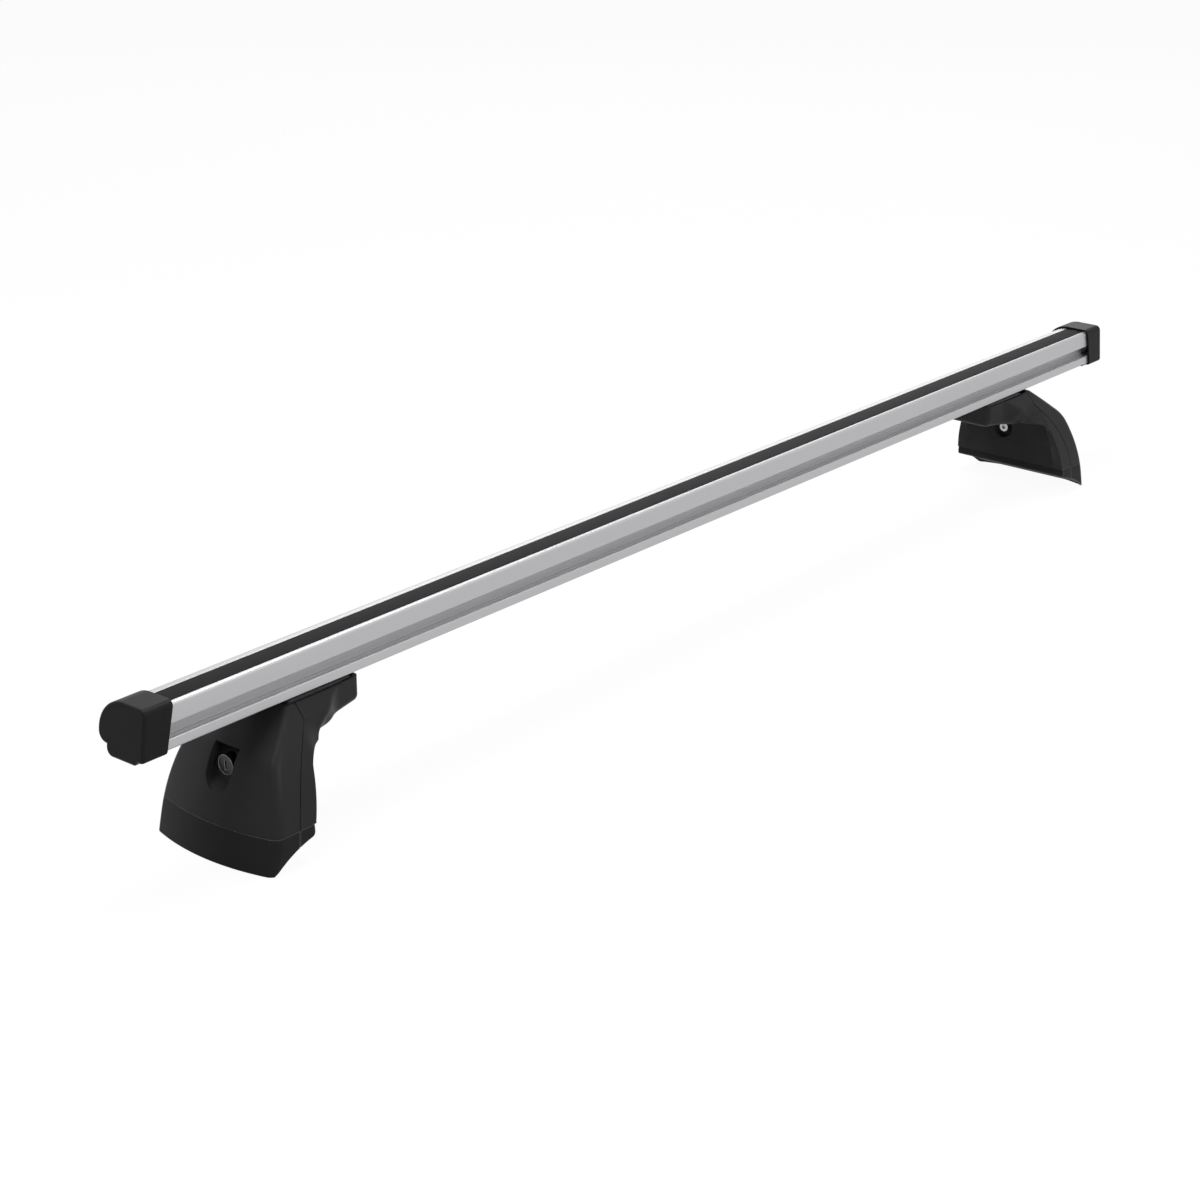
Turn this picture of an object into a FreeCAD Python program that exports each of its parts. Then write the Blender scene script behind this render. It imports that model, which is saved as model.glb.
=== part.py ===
import FreeCAD, Part
import math
import os

import Sketcher
from FreeCAD import Placement, Rotation, Vector

# A roof rack crossbar: one aluminium bar on two identical clamp feet.
# The frame has X along the bar, +Z up, and the bar's flat slotted front towards -Y.
# The origin is midway between the feet, on the roof, at the height of the two lowest skirt edges.

DRIVING_SIZES = [
    # the extruded bar
    ("bar_length", 1350.0, "cut length of the extrusion"),
    ("bar_width", 46.0, "flat front to rounded nose"),
    ("bar_height", 36.4, "front lip to top face"),
    ("bar_forward", 3.2, "bar middle ahead of the feet's middle"),
    ("deck_height", 151.7, "top face above the roof"),
    ("bar_wall", 2.2, "wall of the extrusion"),
    ("nose_radius", 22.0, "upper nose"),
    ("tail_radius", 8.6, "lower nose"),
    ("tail_rise", 5.4, "underside of the nose above the front lip"),
    ("front_edge_radius", 3.0, "upper front edge"),
    ("lip_edge_radius", 1.2, "lower front edge"),
    ("belly_edge_radius", 5.0, "rear edge of the belly"),
    ("belly_drop", 3.2, "belly below the front lip"),
    ("belly_setback", 8.0, "belly behind the front face"),
    ("belly_slope", 4.0, "run of the belly's front slope"),
    # slots of the bar
    ("strip_setback", 3.7, "top slot behind the front face"),
    ("strip_width", 20.0, "top slot mouth"),
    ("top_slot_depth", 7.0, "top slot floor below the top face"),
    ("top_lip", 2.0, "thickness of the top slot's lips"),
    ("top_undercut", 1.5, "top slot behind its lips"),
    ("side_sill", 8.5, "side slot above the front lip"),
    ("side_mouth", 11.6, "side slot mouth"),
    ("side_slot_depth", 11.0, "side slot floor behind the front face"),
    ("side_lip", 2.4, "thickness of the side slot's lips"),
    ("side_undercut", 3.0, "side slot behind its lips"),
    ("side_step_width", 3.0, "step along the foot of the side slot"),
    ("side_step_height", 1.5, "height of that step"),
    ("channel_mouth", 9.2, "clamp channel mouth"),
    ("channel_width", 16.0, "clamp channel inside"),
    ("channel_height", 8.5, "clamp channel inside height"),
    ("channel_lip", 2.7, "thickness of the clamp channel's lips"),
    # rubber strip
    ("strip_proud", 0.5, "strip above the bar's top face"),
    ("strip_gap", 0.2, "strip clear of its slot"),
    ("strip_end_gap", 0.8, "strip short of the caps' rims"),
    ("strip_flange", 2.0, "thickness of the strip's flange"),
    ("strip_leg", 2.0, "thickness of the strip's legs"),
    ("strip_leg_inset", 1.8, "legs inside the strip's edge"),
    # end caps
    ("cap_wall", 2.2, "wall of the cap round the bar"),
    ("cap_end", 5.0, "end wall at the top"),
    ("cap_flare", 5.3, "how far the end leans out at the bottom"),
    ("cap_grip", 22.5, "cap over the bar at the top"),
    ("cap_rake", 9.0, "how much less it covers at the bottom"),
    ("cap_gap", 0.25, "cap clear of the bar"),
    ("cap_edge_radius", 2.4, "rounded end edges"),
    ("cap_tongue_reach", 16.0, "tongues inside the bar"),
    ("cap_tongue_wall", 2.0, "wall of a tongue"),
    ("tongue_gap", 0.35, "tongue clear of its chamber"),
    # foot shell
    ("foot_setback", 125.0, "inner wall of a foot from the bar's end"),
    ("wall_face", 1.0, "inner skirt outboard of the foot's datum"),
    ("toe_reach", 58.7, "toe outboard of the datum"),
    ("toe_width", 12.7, "flat bottom of the toe"),
    ("inner_lift", 20.0, "inner skirt above the roof"),
    ("roof_radius", 100.0, "curve of the underside"),
    ("foot_half_width", 66.0, "half width at the skirt"),
    ("side_straight", 16.0, "height where the sides start to lean"),
    ("crown_half_width", 27.7, "half width that the curved sides reach at the top"),
    ("plan_radius", 212.6, "curve of the outer face seen from above"),
    ("face_radius", 370.0, "curve of the outer face seen from the side"),
    ("face_lean", 11.3, "degrees that the face leans back at the toe"),
    ("shoulder_drop", 29.4, "where the face turns in, below the foot's top"),
    ("shoulder_slope", 1.3, "run of the upper face for each millimetre of height"),
    ("shoulder_radius", 35.0, "curve of that turn"),
    ("corner_radius", 8.0, "upright corners of the outer face"),
    ("shell_wall", 2.5, "wall of the mouldings"),
    ("cover_gap", 0.7, "mouldings below the belly"),
    ("skirt_height", 28.5, "seam above the roof"),
    ("seam_gap", 0.4, "seam"),
    ("skirt_step", 2.0, "inner skirt behind the inner cover"),
    ("skirt_corner_radius", 4.0, "lower corner of the inner skirt"),
    ("split_gap", 0.8, "gap between outer and inner mouldings"),
    ("split_reach", 19.9, "split outboard of the inner wall"),
    ("split_radius", 127.0, "curve of the split"),
    ("split_centre_height", 11.0, "that curve's centre above the roof"),
    ("split_top_setback", 17.0, "upright top of the split inboard of the inner wall"),
    # hood and arm of the inner cover
    ("arm_reach", 89.0, "arm tip inboard of the inner wall"),
    ("arm_tip_drop", 22.2, "underside of the arm at its tip, below the foot's top"),
    ("arm_root_drop", 29.8, "underside of the arm at its root, below the foot's top"),
    ("arm_root_setback", 26.0, "root inboard of the inner wall"),
    ("arm_half_width", 27.5, "half width of the arm"),
    ("arm_taper", 2.5, "how much narrower the tip is on each side"),
    ("arm_neck_setback", 60.0, "where the flare ends"),
    ("hood_lean", 9.0, "hood edge leaning inboard"),
    ("hood_low", 30.0, "height where it starts to lean"),
    ("hood_high", 70.0, "height where that lean is reached"),
    ("arm_blend_radius", 16.0, "hood edge into arm"),
    ("flare_blend_radius", 25.0, "flare into arm"),
    ("tip_radius", 5.0, "arm tip"),
    ("arm_edge_radius", 7.0, "lower edges of the arm"),
    ("rim_margin", 11.0, "rim round the recessed inner wall"),
    ("rim_draft", 0.7, "slant of the recess's side walls"),
    ("panel_drop", 2.6, "top of the recessed inner wall below the arm's root"),
    ("panel_lean", 4.5, "recess depth at its top"),
    # lock and its recess
    ("lock_drop", 42.7, "lock below the foot's top"),
    ("lock_reach", 31.8, "lock face outboard of the inner wall"),
    ("recess_half_width", 13.5, "lock recess"),
    ("recess_rise", 15.8, "top of the lock recess above the lock"),
    ("recess_fall", 17.7, "bottom of the lock recess below the lock"),
    ("recess_depth", 9.0, "depth of the lock recess"),
    ("recess_ramp", 0.6, "rise of the recess's lower floor for each millimetre inward"),
    ("barrel_radius", 8.5, "lock barrel"),
    ("barrel_length", 12.8, "lock barrel"),
    ("barrel_rim", 0.8, "bright rim round the plug"),
    ("boss_wall", 3.0, "wall of the moulded lock boss"),
    ("plug_radius", 5.5, "lock plug inside the barrel"),
    ("plug_head", 2.4, "thickness of the plug's face"),
    ("face_gap", 0.1, "behind the plug's face"),
    ("face_sink", 0.3, "plug's face behind the rim"),
    ("tail_shaft_radius", 3.2, "plug's tail in the cam"),
    ("key_slot_width", 1.6, "key slot"),
    ("key_slot_height", 8.0, "key slot"),
    ("key_slot_depth", 1.8, "key slot"),
    ("cam_thickness", 2.0, "lock cam"),
    ("cam_reach", 16.0, "lock cam from the lock's axis"),
    ("cam_half_width", 4.0, "lock cam"),
    ("cam_setback", 1.6, "cam behind the barrel"),
    ("cam_gap", 0.5, "cam behind the catch"),
    ("cam_screw_radius", 2.0, "cam screw shank"),
    ("cam_screw_bore", 8.0, "depth of its hole in the plug"),
    ("cam_screw_head_radius", 3.4, "cam screw head"),
    ("cam_screw_head", 2.0, "cam screw head"),
    ("running_gap", 0.06, "radial clearance of what turns"),
    ("fixed_gap", 0.1, "radial clearance of what is fixed"),
    # cast core
    ("core_gap", 1.0, "core inside the mouldings"),
    ("base_height", 24.0, "underside of the base plate"),
    ("base_thickness", 6.0, "base plate"),
    ("base_reach", 43.0, "base plate outboard of the inner wall"),
    ("rib_inner", 18.0, "ribs from the middle"),
    ("rib_thickness", 6.0, "ribs"),
    ("rib_setback", 9.2, "ribs outboard of the inner wall"),
    ("web_setback", 12.0, "web outboard of the inner wall"),
    ("web_thickness", 2.9, "web between the ribs"),
    ("web_drop", 18.4, "top of the web below the foot's top"),
    ("web_window_radius", 6.5, "window of the web behind the lock"),
    ("platform_thickness", 8.0, "platform under the bar"),
    ("platform_half_width", 21.0, "platform under the bar"),
    ("platform_setback", 20.0, "outer end of the platform"),
    ("tip_gap", 4.5, "platform short of the arm's tip"),
    ("catch_thickness", 2.0, "catch for the cam"),
    ("catch_half_height", 4.0, "catch for the cam"),
    ("catch_reach", 8.5, "catch from the rib towards the lock"),
    ("roof_bolt_spacing", 76.0, "between the two roof bolts"),
    ("roof_bolt_reach", 24.0, "roof bolts outboard of the inner wall"),
    ("roof_bolt_radius", 4.25, "roof bolt hole"),
    ("pad_hole_radius", 7.0, "roof bolt hole in the pad"),
    ("pad_lift", 1.0, "pad above the skirt's edge"),
    # clamp
    ("clamp_setback", 45.0, "clamp screw inboard of the inner wall"),
    ("screw_radius", 4.0, "clamp screw shank"),
    ("screw_hole_gap", 0.3, "shank in the platform"),
    ("screw_head_radius", 6.5, "clamp screw head"),
    ("screw_head", 8.0, "clamp screw head"),
    ("socket_across", 6.0, "hexagon socket"),
    ("socket_depth", 4.5, "hexagon socket"),
    ("washer_radius", 9.0, "clamp washer"),
    ("washer_thickness", 1.6, "clamp washer"),
    ("nut_length", 34.0, "clamp nut along the bar"),
    ("nut_thickness", 5.5, "clamp nut"),
    ("nut_gap", 0.3, "clamp nut beside the channel"),
    ("seat_gap", 0.05, "faces that only touch"),
    ("screw_tip", 1.0, "screw through the nut"),
    ("saddle_half_width", 17.0, "rubber saddle"),
    ("saddle_hole_gap", 1.5, "saddle round the screw"),
    ("saddle_thickness", 2.0, "rubber saddle"),
    ("wrench_hole_radius", 7.5, "access hole under the arm"),
    # screw of the inner cover
    ("cover_screw_drop", 50.9, "cover screw below the foot's top"),
    ("cover_screw_offset", 11.5, "cover screw beside the foot's middle"),
    ("cover_screw_radius", 2.5, "cover screw shank"),
    ("cover_screw_head_radius", 5.0, "cover screw head"),
    ("cover_screw_head", 4.0, "cover screw head"),
    ("cover_screw_socket", 4.0, "hexagon socket"),
    ("cover_screw_socket_depth", 2.4, "hexagon socket"),
    ("cover_screw_pocket", 11.0, "round pocket of the cover screw"),
    ("cover_screw_pocket_depth", 5.0, "depth of that pocket"),
]


class Size:
    """A length that knows its value and the sheet expression that gives it."""

    def __init__(self, value, text):
        self.value = value
        self.text = text

    def __add__(self, other):
        other = as_size(other)
        return Size(self.value + other.value, "(%s + %s)" % (self.text, other.text))

    def __sub__(self, other):
        other = as_size(other)
        return Size(self.value - other.value, "(%s - %s)" % (self.text, other.text))

    def __mul__(self, factor):
        return Size(self.value * factor, "(%s * %r)" % (self.text, factor))

    def __neg__(self):
        return Size(-self.value, "(0 mm - %s)" % self.text)


def as_size(number):
    """A plain number as a Size, so that both can be added."""
    if isinstance(number, Size):
        return number
    return Size(float(number), "%r mm" % float(number))


ZERO = Size(0.0, "0 mm")

doc = FreeCAD.newDocument("crossbar")
sheet = doc.addObject("Spreadsheet::Sheet", "Dims")
for row, (alias, value, meaning) in enumerate(DRIVING_SIZES, start=1):
    sheet.set("A%d" % row, alias)
    sheet.set("B%d" % row, str(value))
    sheet.set("C%d" % row, meaning)
    sheet.setAlias("B%d" % row, alias)
doc.recompute()


def dim(alias):
    """A driving size as a plain number of millimetres."""
    return float(getattr(sheet, alias))


def size(alias):
    """A driving size that stays bound to its cell."""
    return Size(dim(alias), "Dims.%s * 1 mm" % alias)


# Sub-parts are collected here by label, in assembly order.
SUB_PARTS = {}


def new_body(label):
    """A PartDesign body for one sub-part."""
    body = doc.addObject("PartDesign::Body", "body_" + label)
    body.Label = label
    SUB_PARTS[label] = body
    return body


def new_feature(label, shape, placement=None):
    """A sub-part whose shape is worked out here from the sheet's sizes."""
    feature = doc.addObject("Part::Feature", "feature_" + label)
    feature.Shape = shape
    feature.Label = label
    if placement is not None:
        feature.Placement = placement
    SUB_PARTS[label] = feature
    return feature


def new_sketch(body, name, plane):
    """A sketch on one of the body's own origin planes."""
    sketch = body.newObject("Sketcher::SketchObject", name + "_" + body.Label)
    for origin_feature in body.Origin.OriginFeatures:
        if origin_feature.Role == plane:
            sketch.AttachmentSupport = [(origin_feature, "")]
    sketch.MapMode = "FlatFace"
    return sketch


def bind(holder, name, length):
    """Set a property and tie it to the sheet."""
    setattr(holder, name, length.value)
    holder.setExpression(name, length.text)


def pin_point(sketch, geometry, end, point):
    """Tie one end of an edge to its two coordinates."""
    across, up = as_size(point[0]), as_size(point[1])
    for kind, length in (("DistanceX", across), ("DistanceY", up)):
        number = sketch.addConstraint(
            Sketcher.Constraint(kind, -1, 1, geometry, end, length.value))
        sketch.setExpression("Constraints[%d]" % number, length.text)


def draw_outline(sketch, points):
    """A closed outline of straight edges, each corner tied to the sheet."""
    values = [Vector(as_size(a).value, as_size(b).value, 0) for a, b in points]
    edges = []
    for start, end in zip(values, values[1:] + values[:1]):
        edges.append(sketch.addGeometry(Part.LineSegment(start, end), False))
    for edge, following in zip(edges, edges[1:] + edges[:1]):
        sketch.addConstraint(Sketcher.Constraint("Coincident", edge, 2, following, 1))
    for edge, point in zip(edges, points):
        pin_point(sketch, edge, 1, point)


def draw_circle(sketch, centre, radius):
    """A circle with its centre and radius tied to the sheet."""
    middle = Vector(as_size(centre[0]).value, as_size(centre[1]).value, 0)
    circle = sketch.addGeometry(Part.Circle(middle, Vector(0, 0, 1), radius.value), False)
    pin_point(sketch, circle, 3, centre)
    number = sketch.addConstraint(Sketcher.Constraint("Radius", circle, radius.value))
    sketch.setExpression("Constraints[%d]" % number, radius.text)


def pad_sketch(body, name, sketch, length, symmetric=False):
    """Pad a sketch by a bound length."""
    pad = body.newObject("PartDesign::Pad", name + "_" + body.Label)
    pad.Profile = sketch
    if symmetric:
        pad.SideType = "Symmetric"
    bind(pad, "Length", length)
    doc.recompute()
    return pad


def long_edges_at(shape, across, up):
    """Names of the straight edges along X that pass through one point of the section."""
    names = []
    for number, edge in enumerate(shape.Edges, start=1):
        middle = edge.CenterOfMass
        along_x = abs(edge.tangentAt(edge.FirstParameter).x) > 0.999
        if along_x and abs(middle.y - across) < 0.01 and abs(middle.z - up) < 0.01:
            names.append("Edge%d" % number)
    return names


def round_long_edge(body, name, point, radius):
    """Fillet the long edge that passes through one point of the section."""
    base = body.Tip
    fillet = body.newObject("PartDesign::Fillet", name + "_" + body.Label)
    names = long_edges_at(base.Shape, as_size(point[0]).value, as_size(point[1]).value)
    fillet.Base = (base, names)
    bind(fillet, "Radius", radius)
    doc.recompute()
    return fillet


# Lines of the bar's section that several pieces share.
bar_front = -(size("bar_width") * 0.5 + size("bar_forward"))
bar_back = bar_front + size("bar_width")
bar_top = size("deck_height")
bar_bottom = bar_top - size("bar_height")
belly_bottom = bar_bottom - size("belly_drop")
tail_bottom = bar_bottom + size("tail_rise")
slot_front = bar_front + size("strip_setback")
slot_back = slot_front + size("strip_width")
top_slot_floor = bar_top - size("top_slot_depth")
channel_floor = belly_bottom + size("channel_lip")
channel_top = channel_floor + size("channel_height")
half_channel = size("channel_width") * 0.5
half_mouth = size("channel_mouth") * 0.5
belly_back = half_channel + size("bar_wall")
side_low = bar_bottom + size("side_sill")
side_high = side_low + size("side_mouth")
side_floor = bar_front + size("side_slot_depth")


def bar_chambers():
    """The two closed chambers of the bar, as corner lists in the section."""
    wall = size("bar_wall")
    low = channel_top + wall
    rear_high = bar_top - wall * 2.0
    front_high = top_slot_floor - wall
    web = slot_back + wall
    front = [
        (side_floor + wall, low),
        (web - wall, low),
        (web - wall, front_high),
        (side_floor + wall, front_high),
    ]
    rear = [
        (web, low),
        (bar_back - wall, low),
        (bar_back - wall, rear_high),
        (web, rear_high),
    ]
    return front, rear


def make_bar():
    """Extruded bar with a top slot, a side slot, a clamp channel and two closed chambers."""
    body = new_body("bar_extrusion")
    sketch = new_sketch(body, "section", "YZ_Plane")
    top_inside = bar_top - size("top_lip")
    undercut = size("top_undercut")
    side_under = size("side_undercut")
    step_in = side_floor - size("side_step_width")
    side_back = bar_front + size("side_lip")
    outline = [
        (bar_front, bar_bottom),
        (bar_front + size("belly_setback") - size("belly_slope"), bar_bottom),
        (bar_front + size("belly_setback"), belly_bottom),
        (-half_mouth, belly_bottom),
        (-half_mouth, channel_floor),
        (-half_channel, channel_floor),
        (-half_channel, channel_top),
        (half_channel, channel_top),
        (half_channel, channel_floor),
        (half_mouth, channel_floor),
        (half_mouth, belly_bottom),
        (belly_back, belly_bottom),
        (belly_back, tail_bottom),
        (bar_back, tail_bottom),
        (bar_back, bar_top),
        (slot_back, bar_top),
        (slot_back, top_inside),
        (slot_back + undercut, top_inside),
        (slot_back + undercut, top_slot_floor),
        (slot_front - undercut, top_slot_floor),
        (slot_front - undercut, top_inside),
        (slot_front, top_inside),
        (slot_front, bar_top),
        (bar_front, bar_top),
        (bar_front, side_high),
        (side_back, side_high),
        (side_back, side_high + side_under),
        (side_floor, side_high + side_under),
        (side_floor, side_low - side_under + size("side_step_height")),
        (step_in, side_low - side_under + size("side_step_height")),
        (step_in, side_low - side_under),
        (side_back, side_low - side_under),
        (side_back, side_low),
        (bar_front, side_low),
    ]
    draw_outline(sketch, outline)
    front, rear = bar_chambers()
    draw_outline(sketch, front)
    draw_outline(sketch, rear)
    pad_sketch(body, "extrusion", sketch, size("bar_length"), symmetric=True)
    wall = size("bar_wall")
    round_long_edge(body, "nose", (bar_back, bar_top), size("nose_radius"))
    round_long_edge(body, "tail", (bar_back, tail_bottom), size("tail_radius"))
    round_long_edge(body, "front_edge", (bar_front, bar_top), size("front_edge_radius"))
    round_long_edge(body, "lip_edge", (bar_front, bar_bottom), size("lip_edge_radius"))
    round_long_edge(body, "belly_edge", (belly_back, belly_bottom), size("belly_edge_radius"))
    round_long_edge(body, "nose_inside", rear[2], size("nose_radius") - wall * 3.0)
    round_long_edge(body, "tail_inside", rear[1], size("tail_radius") - wall * 2.0)
    return body


def make_strip(length):
    """Rubber strip: a wide face, a flange under the slot's lips and two legs to its floor."""
    body = new_body("slot_strip")
    sketch = new_sketch(body, "section", "YZ_Plane")
    gap = size("strip_gap")
    face_front = slot_front + gap
    face_back = slot_back - gap
    face_top = bar_top + size("strip_proud")
    under_lip = bar_top - size("top_lip") - gap
    flange_low = under_lip - size("strip_flange")
    flange_front = slot_front - size("top_undercut") + gap
    flange_back = slot_back + size("top_undercut") - gap
    leg = size("strip_leg")
    leg_front = face_front + size("strip_leg_inset")
    leg_back = face_back - size("strip_leg_inset")
    foot = top_slot_floor + size("seat_gap")
    outline = [
        (face_front, under_lip),
        (flange_front, under_lip),
        (flange_front, flange_low),
        (leg_front, flange_low),
        (leg_front, foot),
        (leg_front + leg, foot),
        (leg_front + leg, flange_low),
        (leg_back - leg, flange_low),
        (leg_back - leg, foot),
        (leg_back, foot),
        (leg_back, flange_low),
        (flange_back, flange_low),
        (flange_back, under_lip),
        (face_back, under_lip),
        (face_back, face_top),
        (face_front, face_top),
    ]
    draw_outline(sketch, outline)
    pad_sketch(body, "moulding", sketch, length, symmetric=True)
    edge_radius = size("strip_proud") * 2.0
    round_long_edge(body, "front_edge", (face_front, face_top), edge_radius)
    round_long_edge(body, "back_edge", (face_back, face_top), edge_radius)
    return body


# Reaches of the plain blocks that cut or trim a foot: past all of it, well below the roof,
# a little above its top, and a little through a wall.
FAR = 400.0
BELOW = -100.0
ABOVE = 8.0
THROUGH = 1.0
SOLVER_STEPS = 40
# The same for a cap, and the flat that stays beside a full round.
CAP_MARGIN = 20.0
FLAT_LEFT = 0.1


def prism(points, direction):
    """A solid swept from a closed polygon along one direction."""
    return Part.Face(Part.makePolygon(points + points[:1])).extrude(direction)


def edges_through(shape, test):
    """The edges whose middle passes a test."""
    return [edge for edge in shape.Edges if test(edge, edge.valueAt(
        (edge.FirstParameter + edge.LastParameter) / 2.0))]


def bar_outline_prism(grow, start, length):
    """The bar's outer outline, grown on all sides, as a solid along X."""
    front = bar_front.value - grow
    back = bar_back.value + grow
    top = bar_top.value + grow
    lip = bar_bottom.value - grow
    belly = belly_bottom.value - grow
    tail = tail_bottom.value - grow
    belly_rear = belly_back.value + grow
    slope_start = bar_front.value + dim("belly_setback") - dim("belly_slope")
    slope_end = bar_front.value + dim("belly_setback")
    corners = [
        (front, lip), (slope_start, lip), (slope_end, belly), (belly_rear, belly),
        (belly_rear, tail), (back, tail), (back, top), (front, top),
    ]
    points = [Vector(start, across, up) for across, up in corners]
    solid = prism(points, Vector(length, 0, 0))
    rounds = [
        (back, top, dim("nose_radius") + grow),
        (back, tail, min(dim("tail_radius") + grow, back - belly_rear - FLAT_LEFT)),
        (front, top, dim("front_edge_radius") + grow),
        (front, lip, dim("lip_edge_radius") + grow),
        (belly_rear, belly, dim("belly_edge_radius") + grow),
    ]
    for across, up, radius in rounds:
        chosen = edges_through(solid, lambda edge, middle: (
            abs(middle.y - across) < 0.01 and abs(middle.z - up) < 0.01
            and abs(middle.x - start - length / 2.0) < 0.01))
        solid = solid.makeFillet(radius, chosen)
    return solid


def raked_slab(top_x, bottom_x, reach):
    """A slab whose near side leans from one X at the bar's top to another at its belly."""
    high = bar_top.value + CAP_MARGIN
    low = belly_bottom.value - CAP_MARGIN
    slope = (bottom_x - top_x) / (belly_bottom.value - bar_top.value)
    high_x = top_x + slope * (high - bar_top.value)
    low_x = top_x + slope * (low - bar_top.value)
    wide = dim("bar_width")
    points = [
        Vector(high_x, -wide, high), Vector(high_x + reach, -wide, high),
        Vector(low_x + reach, -wide, low), Vector(low_x, -wide, low),
    ]
    return prism(points, Vector(0, 2.0 * wide, 0))


def cap_shape():
    """Right end cap: a moulded cup over the bar's end, with tongues into its chambers."""
    bar_end = dim("bar_length") / 2.0
    rim = bar_end - dim("cap_grip")
    rim_low = rim + dim("cap_rake")
    end = bar_end + dim("cap_end")
    end_low = end + dim("cap_flare")
    reach = end_low - rim + 2.0 * CAP_MARGIN
    blank = bar_outline_prism(dim("cap_wall"), rim - CAP_MARGIN / 2.0, reach)
    blank = blank.cut(raked_slab(end, end_low, reach))
    outer_edges = edges_through(blank, lambda edge, middle: middle.x > end - THROUGH)
    blank = blank.makeFillet(dim("cap_edge_radius"), outer_edges)
    blank = blank.common(raked_slab(rim, rim_low, 2.0 * reach))
    cup_end = bar_end + dim("cap_gap")
    cup = bar_outline_prism(dim("cap_gap"), rim - CAP_MARGIN, cup_end - rim + CAP_MARGIN)
    cap = blank.cut(cup)
    for corners in bar_chambers():
        cap = cap.fuse(cap_tongue(corners, bar_end))
    return cap.removeSplitter()


def chamber_block(corners, inset, start, depth):
    """A block along X that fills one chamber of the bar, inset on all sides."""
    front = corners[0][0].value + inset
    low = corners[0][1].value + inset
    back = corners[2][0].value - inset
    high = corners[2][1].value - inset
    block = Part.makeBox(depth, back - front, high - low, Vector(start, front, low))
    if corners[2][0].value < slot_back.value + dim("bar_wall") + THROUGH:
        return block
    nose = dim("nose_radius") - 3.0 * dim("bar_wall") - inset
    tail = dim("tail_radius") - 2.0 * dim("bar_wall") - inset
    for up, radius in ((high, min(nose, back - front - THROUGH)), (low, max(tail, THROUGH))):
        chosen = edges_through(block, lambda edge, middle: (
            abs(middle.y - back) < 0.01 and abs(middle.z - up) < 0.01))
        block = block.makeFillet(radius, chosen)
    return block


def cap_tongue(corners, bar_end):
    """A hollow tongue that fits inside one chamber of the bar."""
    start = bar_end - dim("cap_tongue_reach")
    hollow_depth = dim("cap_tongue_reach")
    depth = hollow_depth + dim("cap_gap") + THROUGH
    tongue = chamber_block(corners, dim("tongue_gap"), start, depth)
    inner = dim("tongue_gap") + dim("cap_tongue_wall")
    return tongue.cut(chamber_block(corners, inner, start, hollow_depth))


def make_caps():
    """Two end caps, the left one the right one's mirror image."""
    shape = cap_shape()
    new_feature("right_end_cap", shape)
    new_feature("left_end_cap", shape.mirror(Vector(0, 0, 0), Vector(1, 0, 0)))


# Heights of a foot, most of them measured down from its top under the bar's belly.
# Its own x axis points outboard from its inner wall.
foot_station = size("bar_length") * 0.5 - size("foot_setback")
foot_top = belly_bottom - size("cover_gap")
lock_height = foot_top - size("lock_drop")
cover_screw_height = foot_top - size("cover_screw_drop")
cover_top = foot_top.value
shoulder_height = cover_top - dim("shoulder_drop")
arm_tip_height = cover_top - dim("arm_tip_drop")
arm_root_height = cover_top - dim("arm_root_drop")
panel_top = arm_root_height - dim("panel_drop")
recess_top = lock_height.value + dim("recess_rise")
recess_bottom = lock_height.value - dim("recess_fall")
web_top = cover_top - dim("web_drop")


def side_radius():
    """Curve of the sides: upright where it starts and down to the crown's width at the top."""
    rise = cover_top - dim("side_straight")
    lean = dim("foot_half_width") - dim("crown_half_width")
    return (rise ** 2 + lean ** 2) / (2.0 * lean)


def side_outline(inset, x):
    """Outline of the foot seen along the bar: upright sides that curve in towards the bar."""
    half = dim("foot_half_width") - inset
    radius = side_radius() - inset
    straight = dim("side_straight")
    top = cover_top + ABOVE
    centre = half - radius
    middle_height = (straight + top) / 2.0
    half_top = centre + math.sqrt(radius ** 2 - (top - straight) ** 2)
    half_middle = centre + math.sqrt(radius ** 2 - (middle_height - straight) ** 2)
    low = BELOW
    corner = Vector(x, half, low)
    start = Vector(x, half, straight)
    crown = Vector(x, half_top, top)
    far_crown = Vector(x, -half_top, top)
    far_start = Vector(x, -half, straight)
    far_corner = Vector(x, -half, low)
    return Part.Wire([
        Part.LineSegment(corner, start).toShape(),
        Part.Arc(start, Vector(x, half_middle, middle_height), crown).toShape(),
        Part.LineSegment(crown, far_crown).toShape(),
        Part.Arc(far_crown, Vector(x, -half_middle, middle_height), far_start).toShape(),
        Part.LineSegment(far_start, far_corner).toShape(),
        Part.LineSegment(far_corner, corner).toShape(),
    ])


def side_envelope(inset):
    """The side outline as a solid along the bar."""
    return Part.Face(side_outline(inset, -FAR)).extrude(Vector(2.0 * FAR, 0, 0))


def face_centre():
    """Centre of the outer face's long curve, in the foot's side view."""
    lean = math.radians(dim("face_lean"))
    radius = dim("face_radius")
    return dim("toe_reach") - radius * math.cos(lean), -radius * math.sin(lean)


def face_x(height, inset):
    """The long curve of the outer face on the foot's middle plane."""
    centre_x, centre_z = face_centre()
    return centre_x + math.sqrt((dim("face_radius") - inset) ** 2 - (height - centre_z) ** 2)


def face_shoulder(inset):
    """Where the inset face meets the inset upper slope, and a higher point of that slope."""
    slope = dim("shoulder_slope")
    start = shoulder_height
    line = face_x(start, 0.0) + slope * start - inset * math.hypot(1.0, slope)
    height = start
    for _ in range(SOLVER_STEPS):
        height = (line - face_x(height, inset)) / slope
    high = cover_top + ABOVE
    return height, high, line - slope * high


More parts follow.
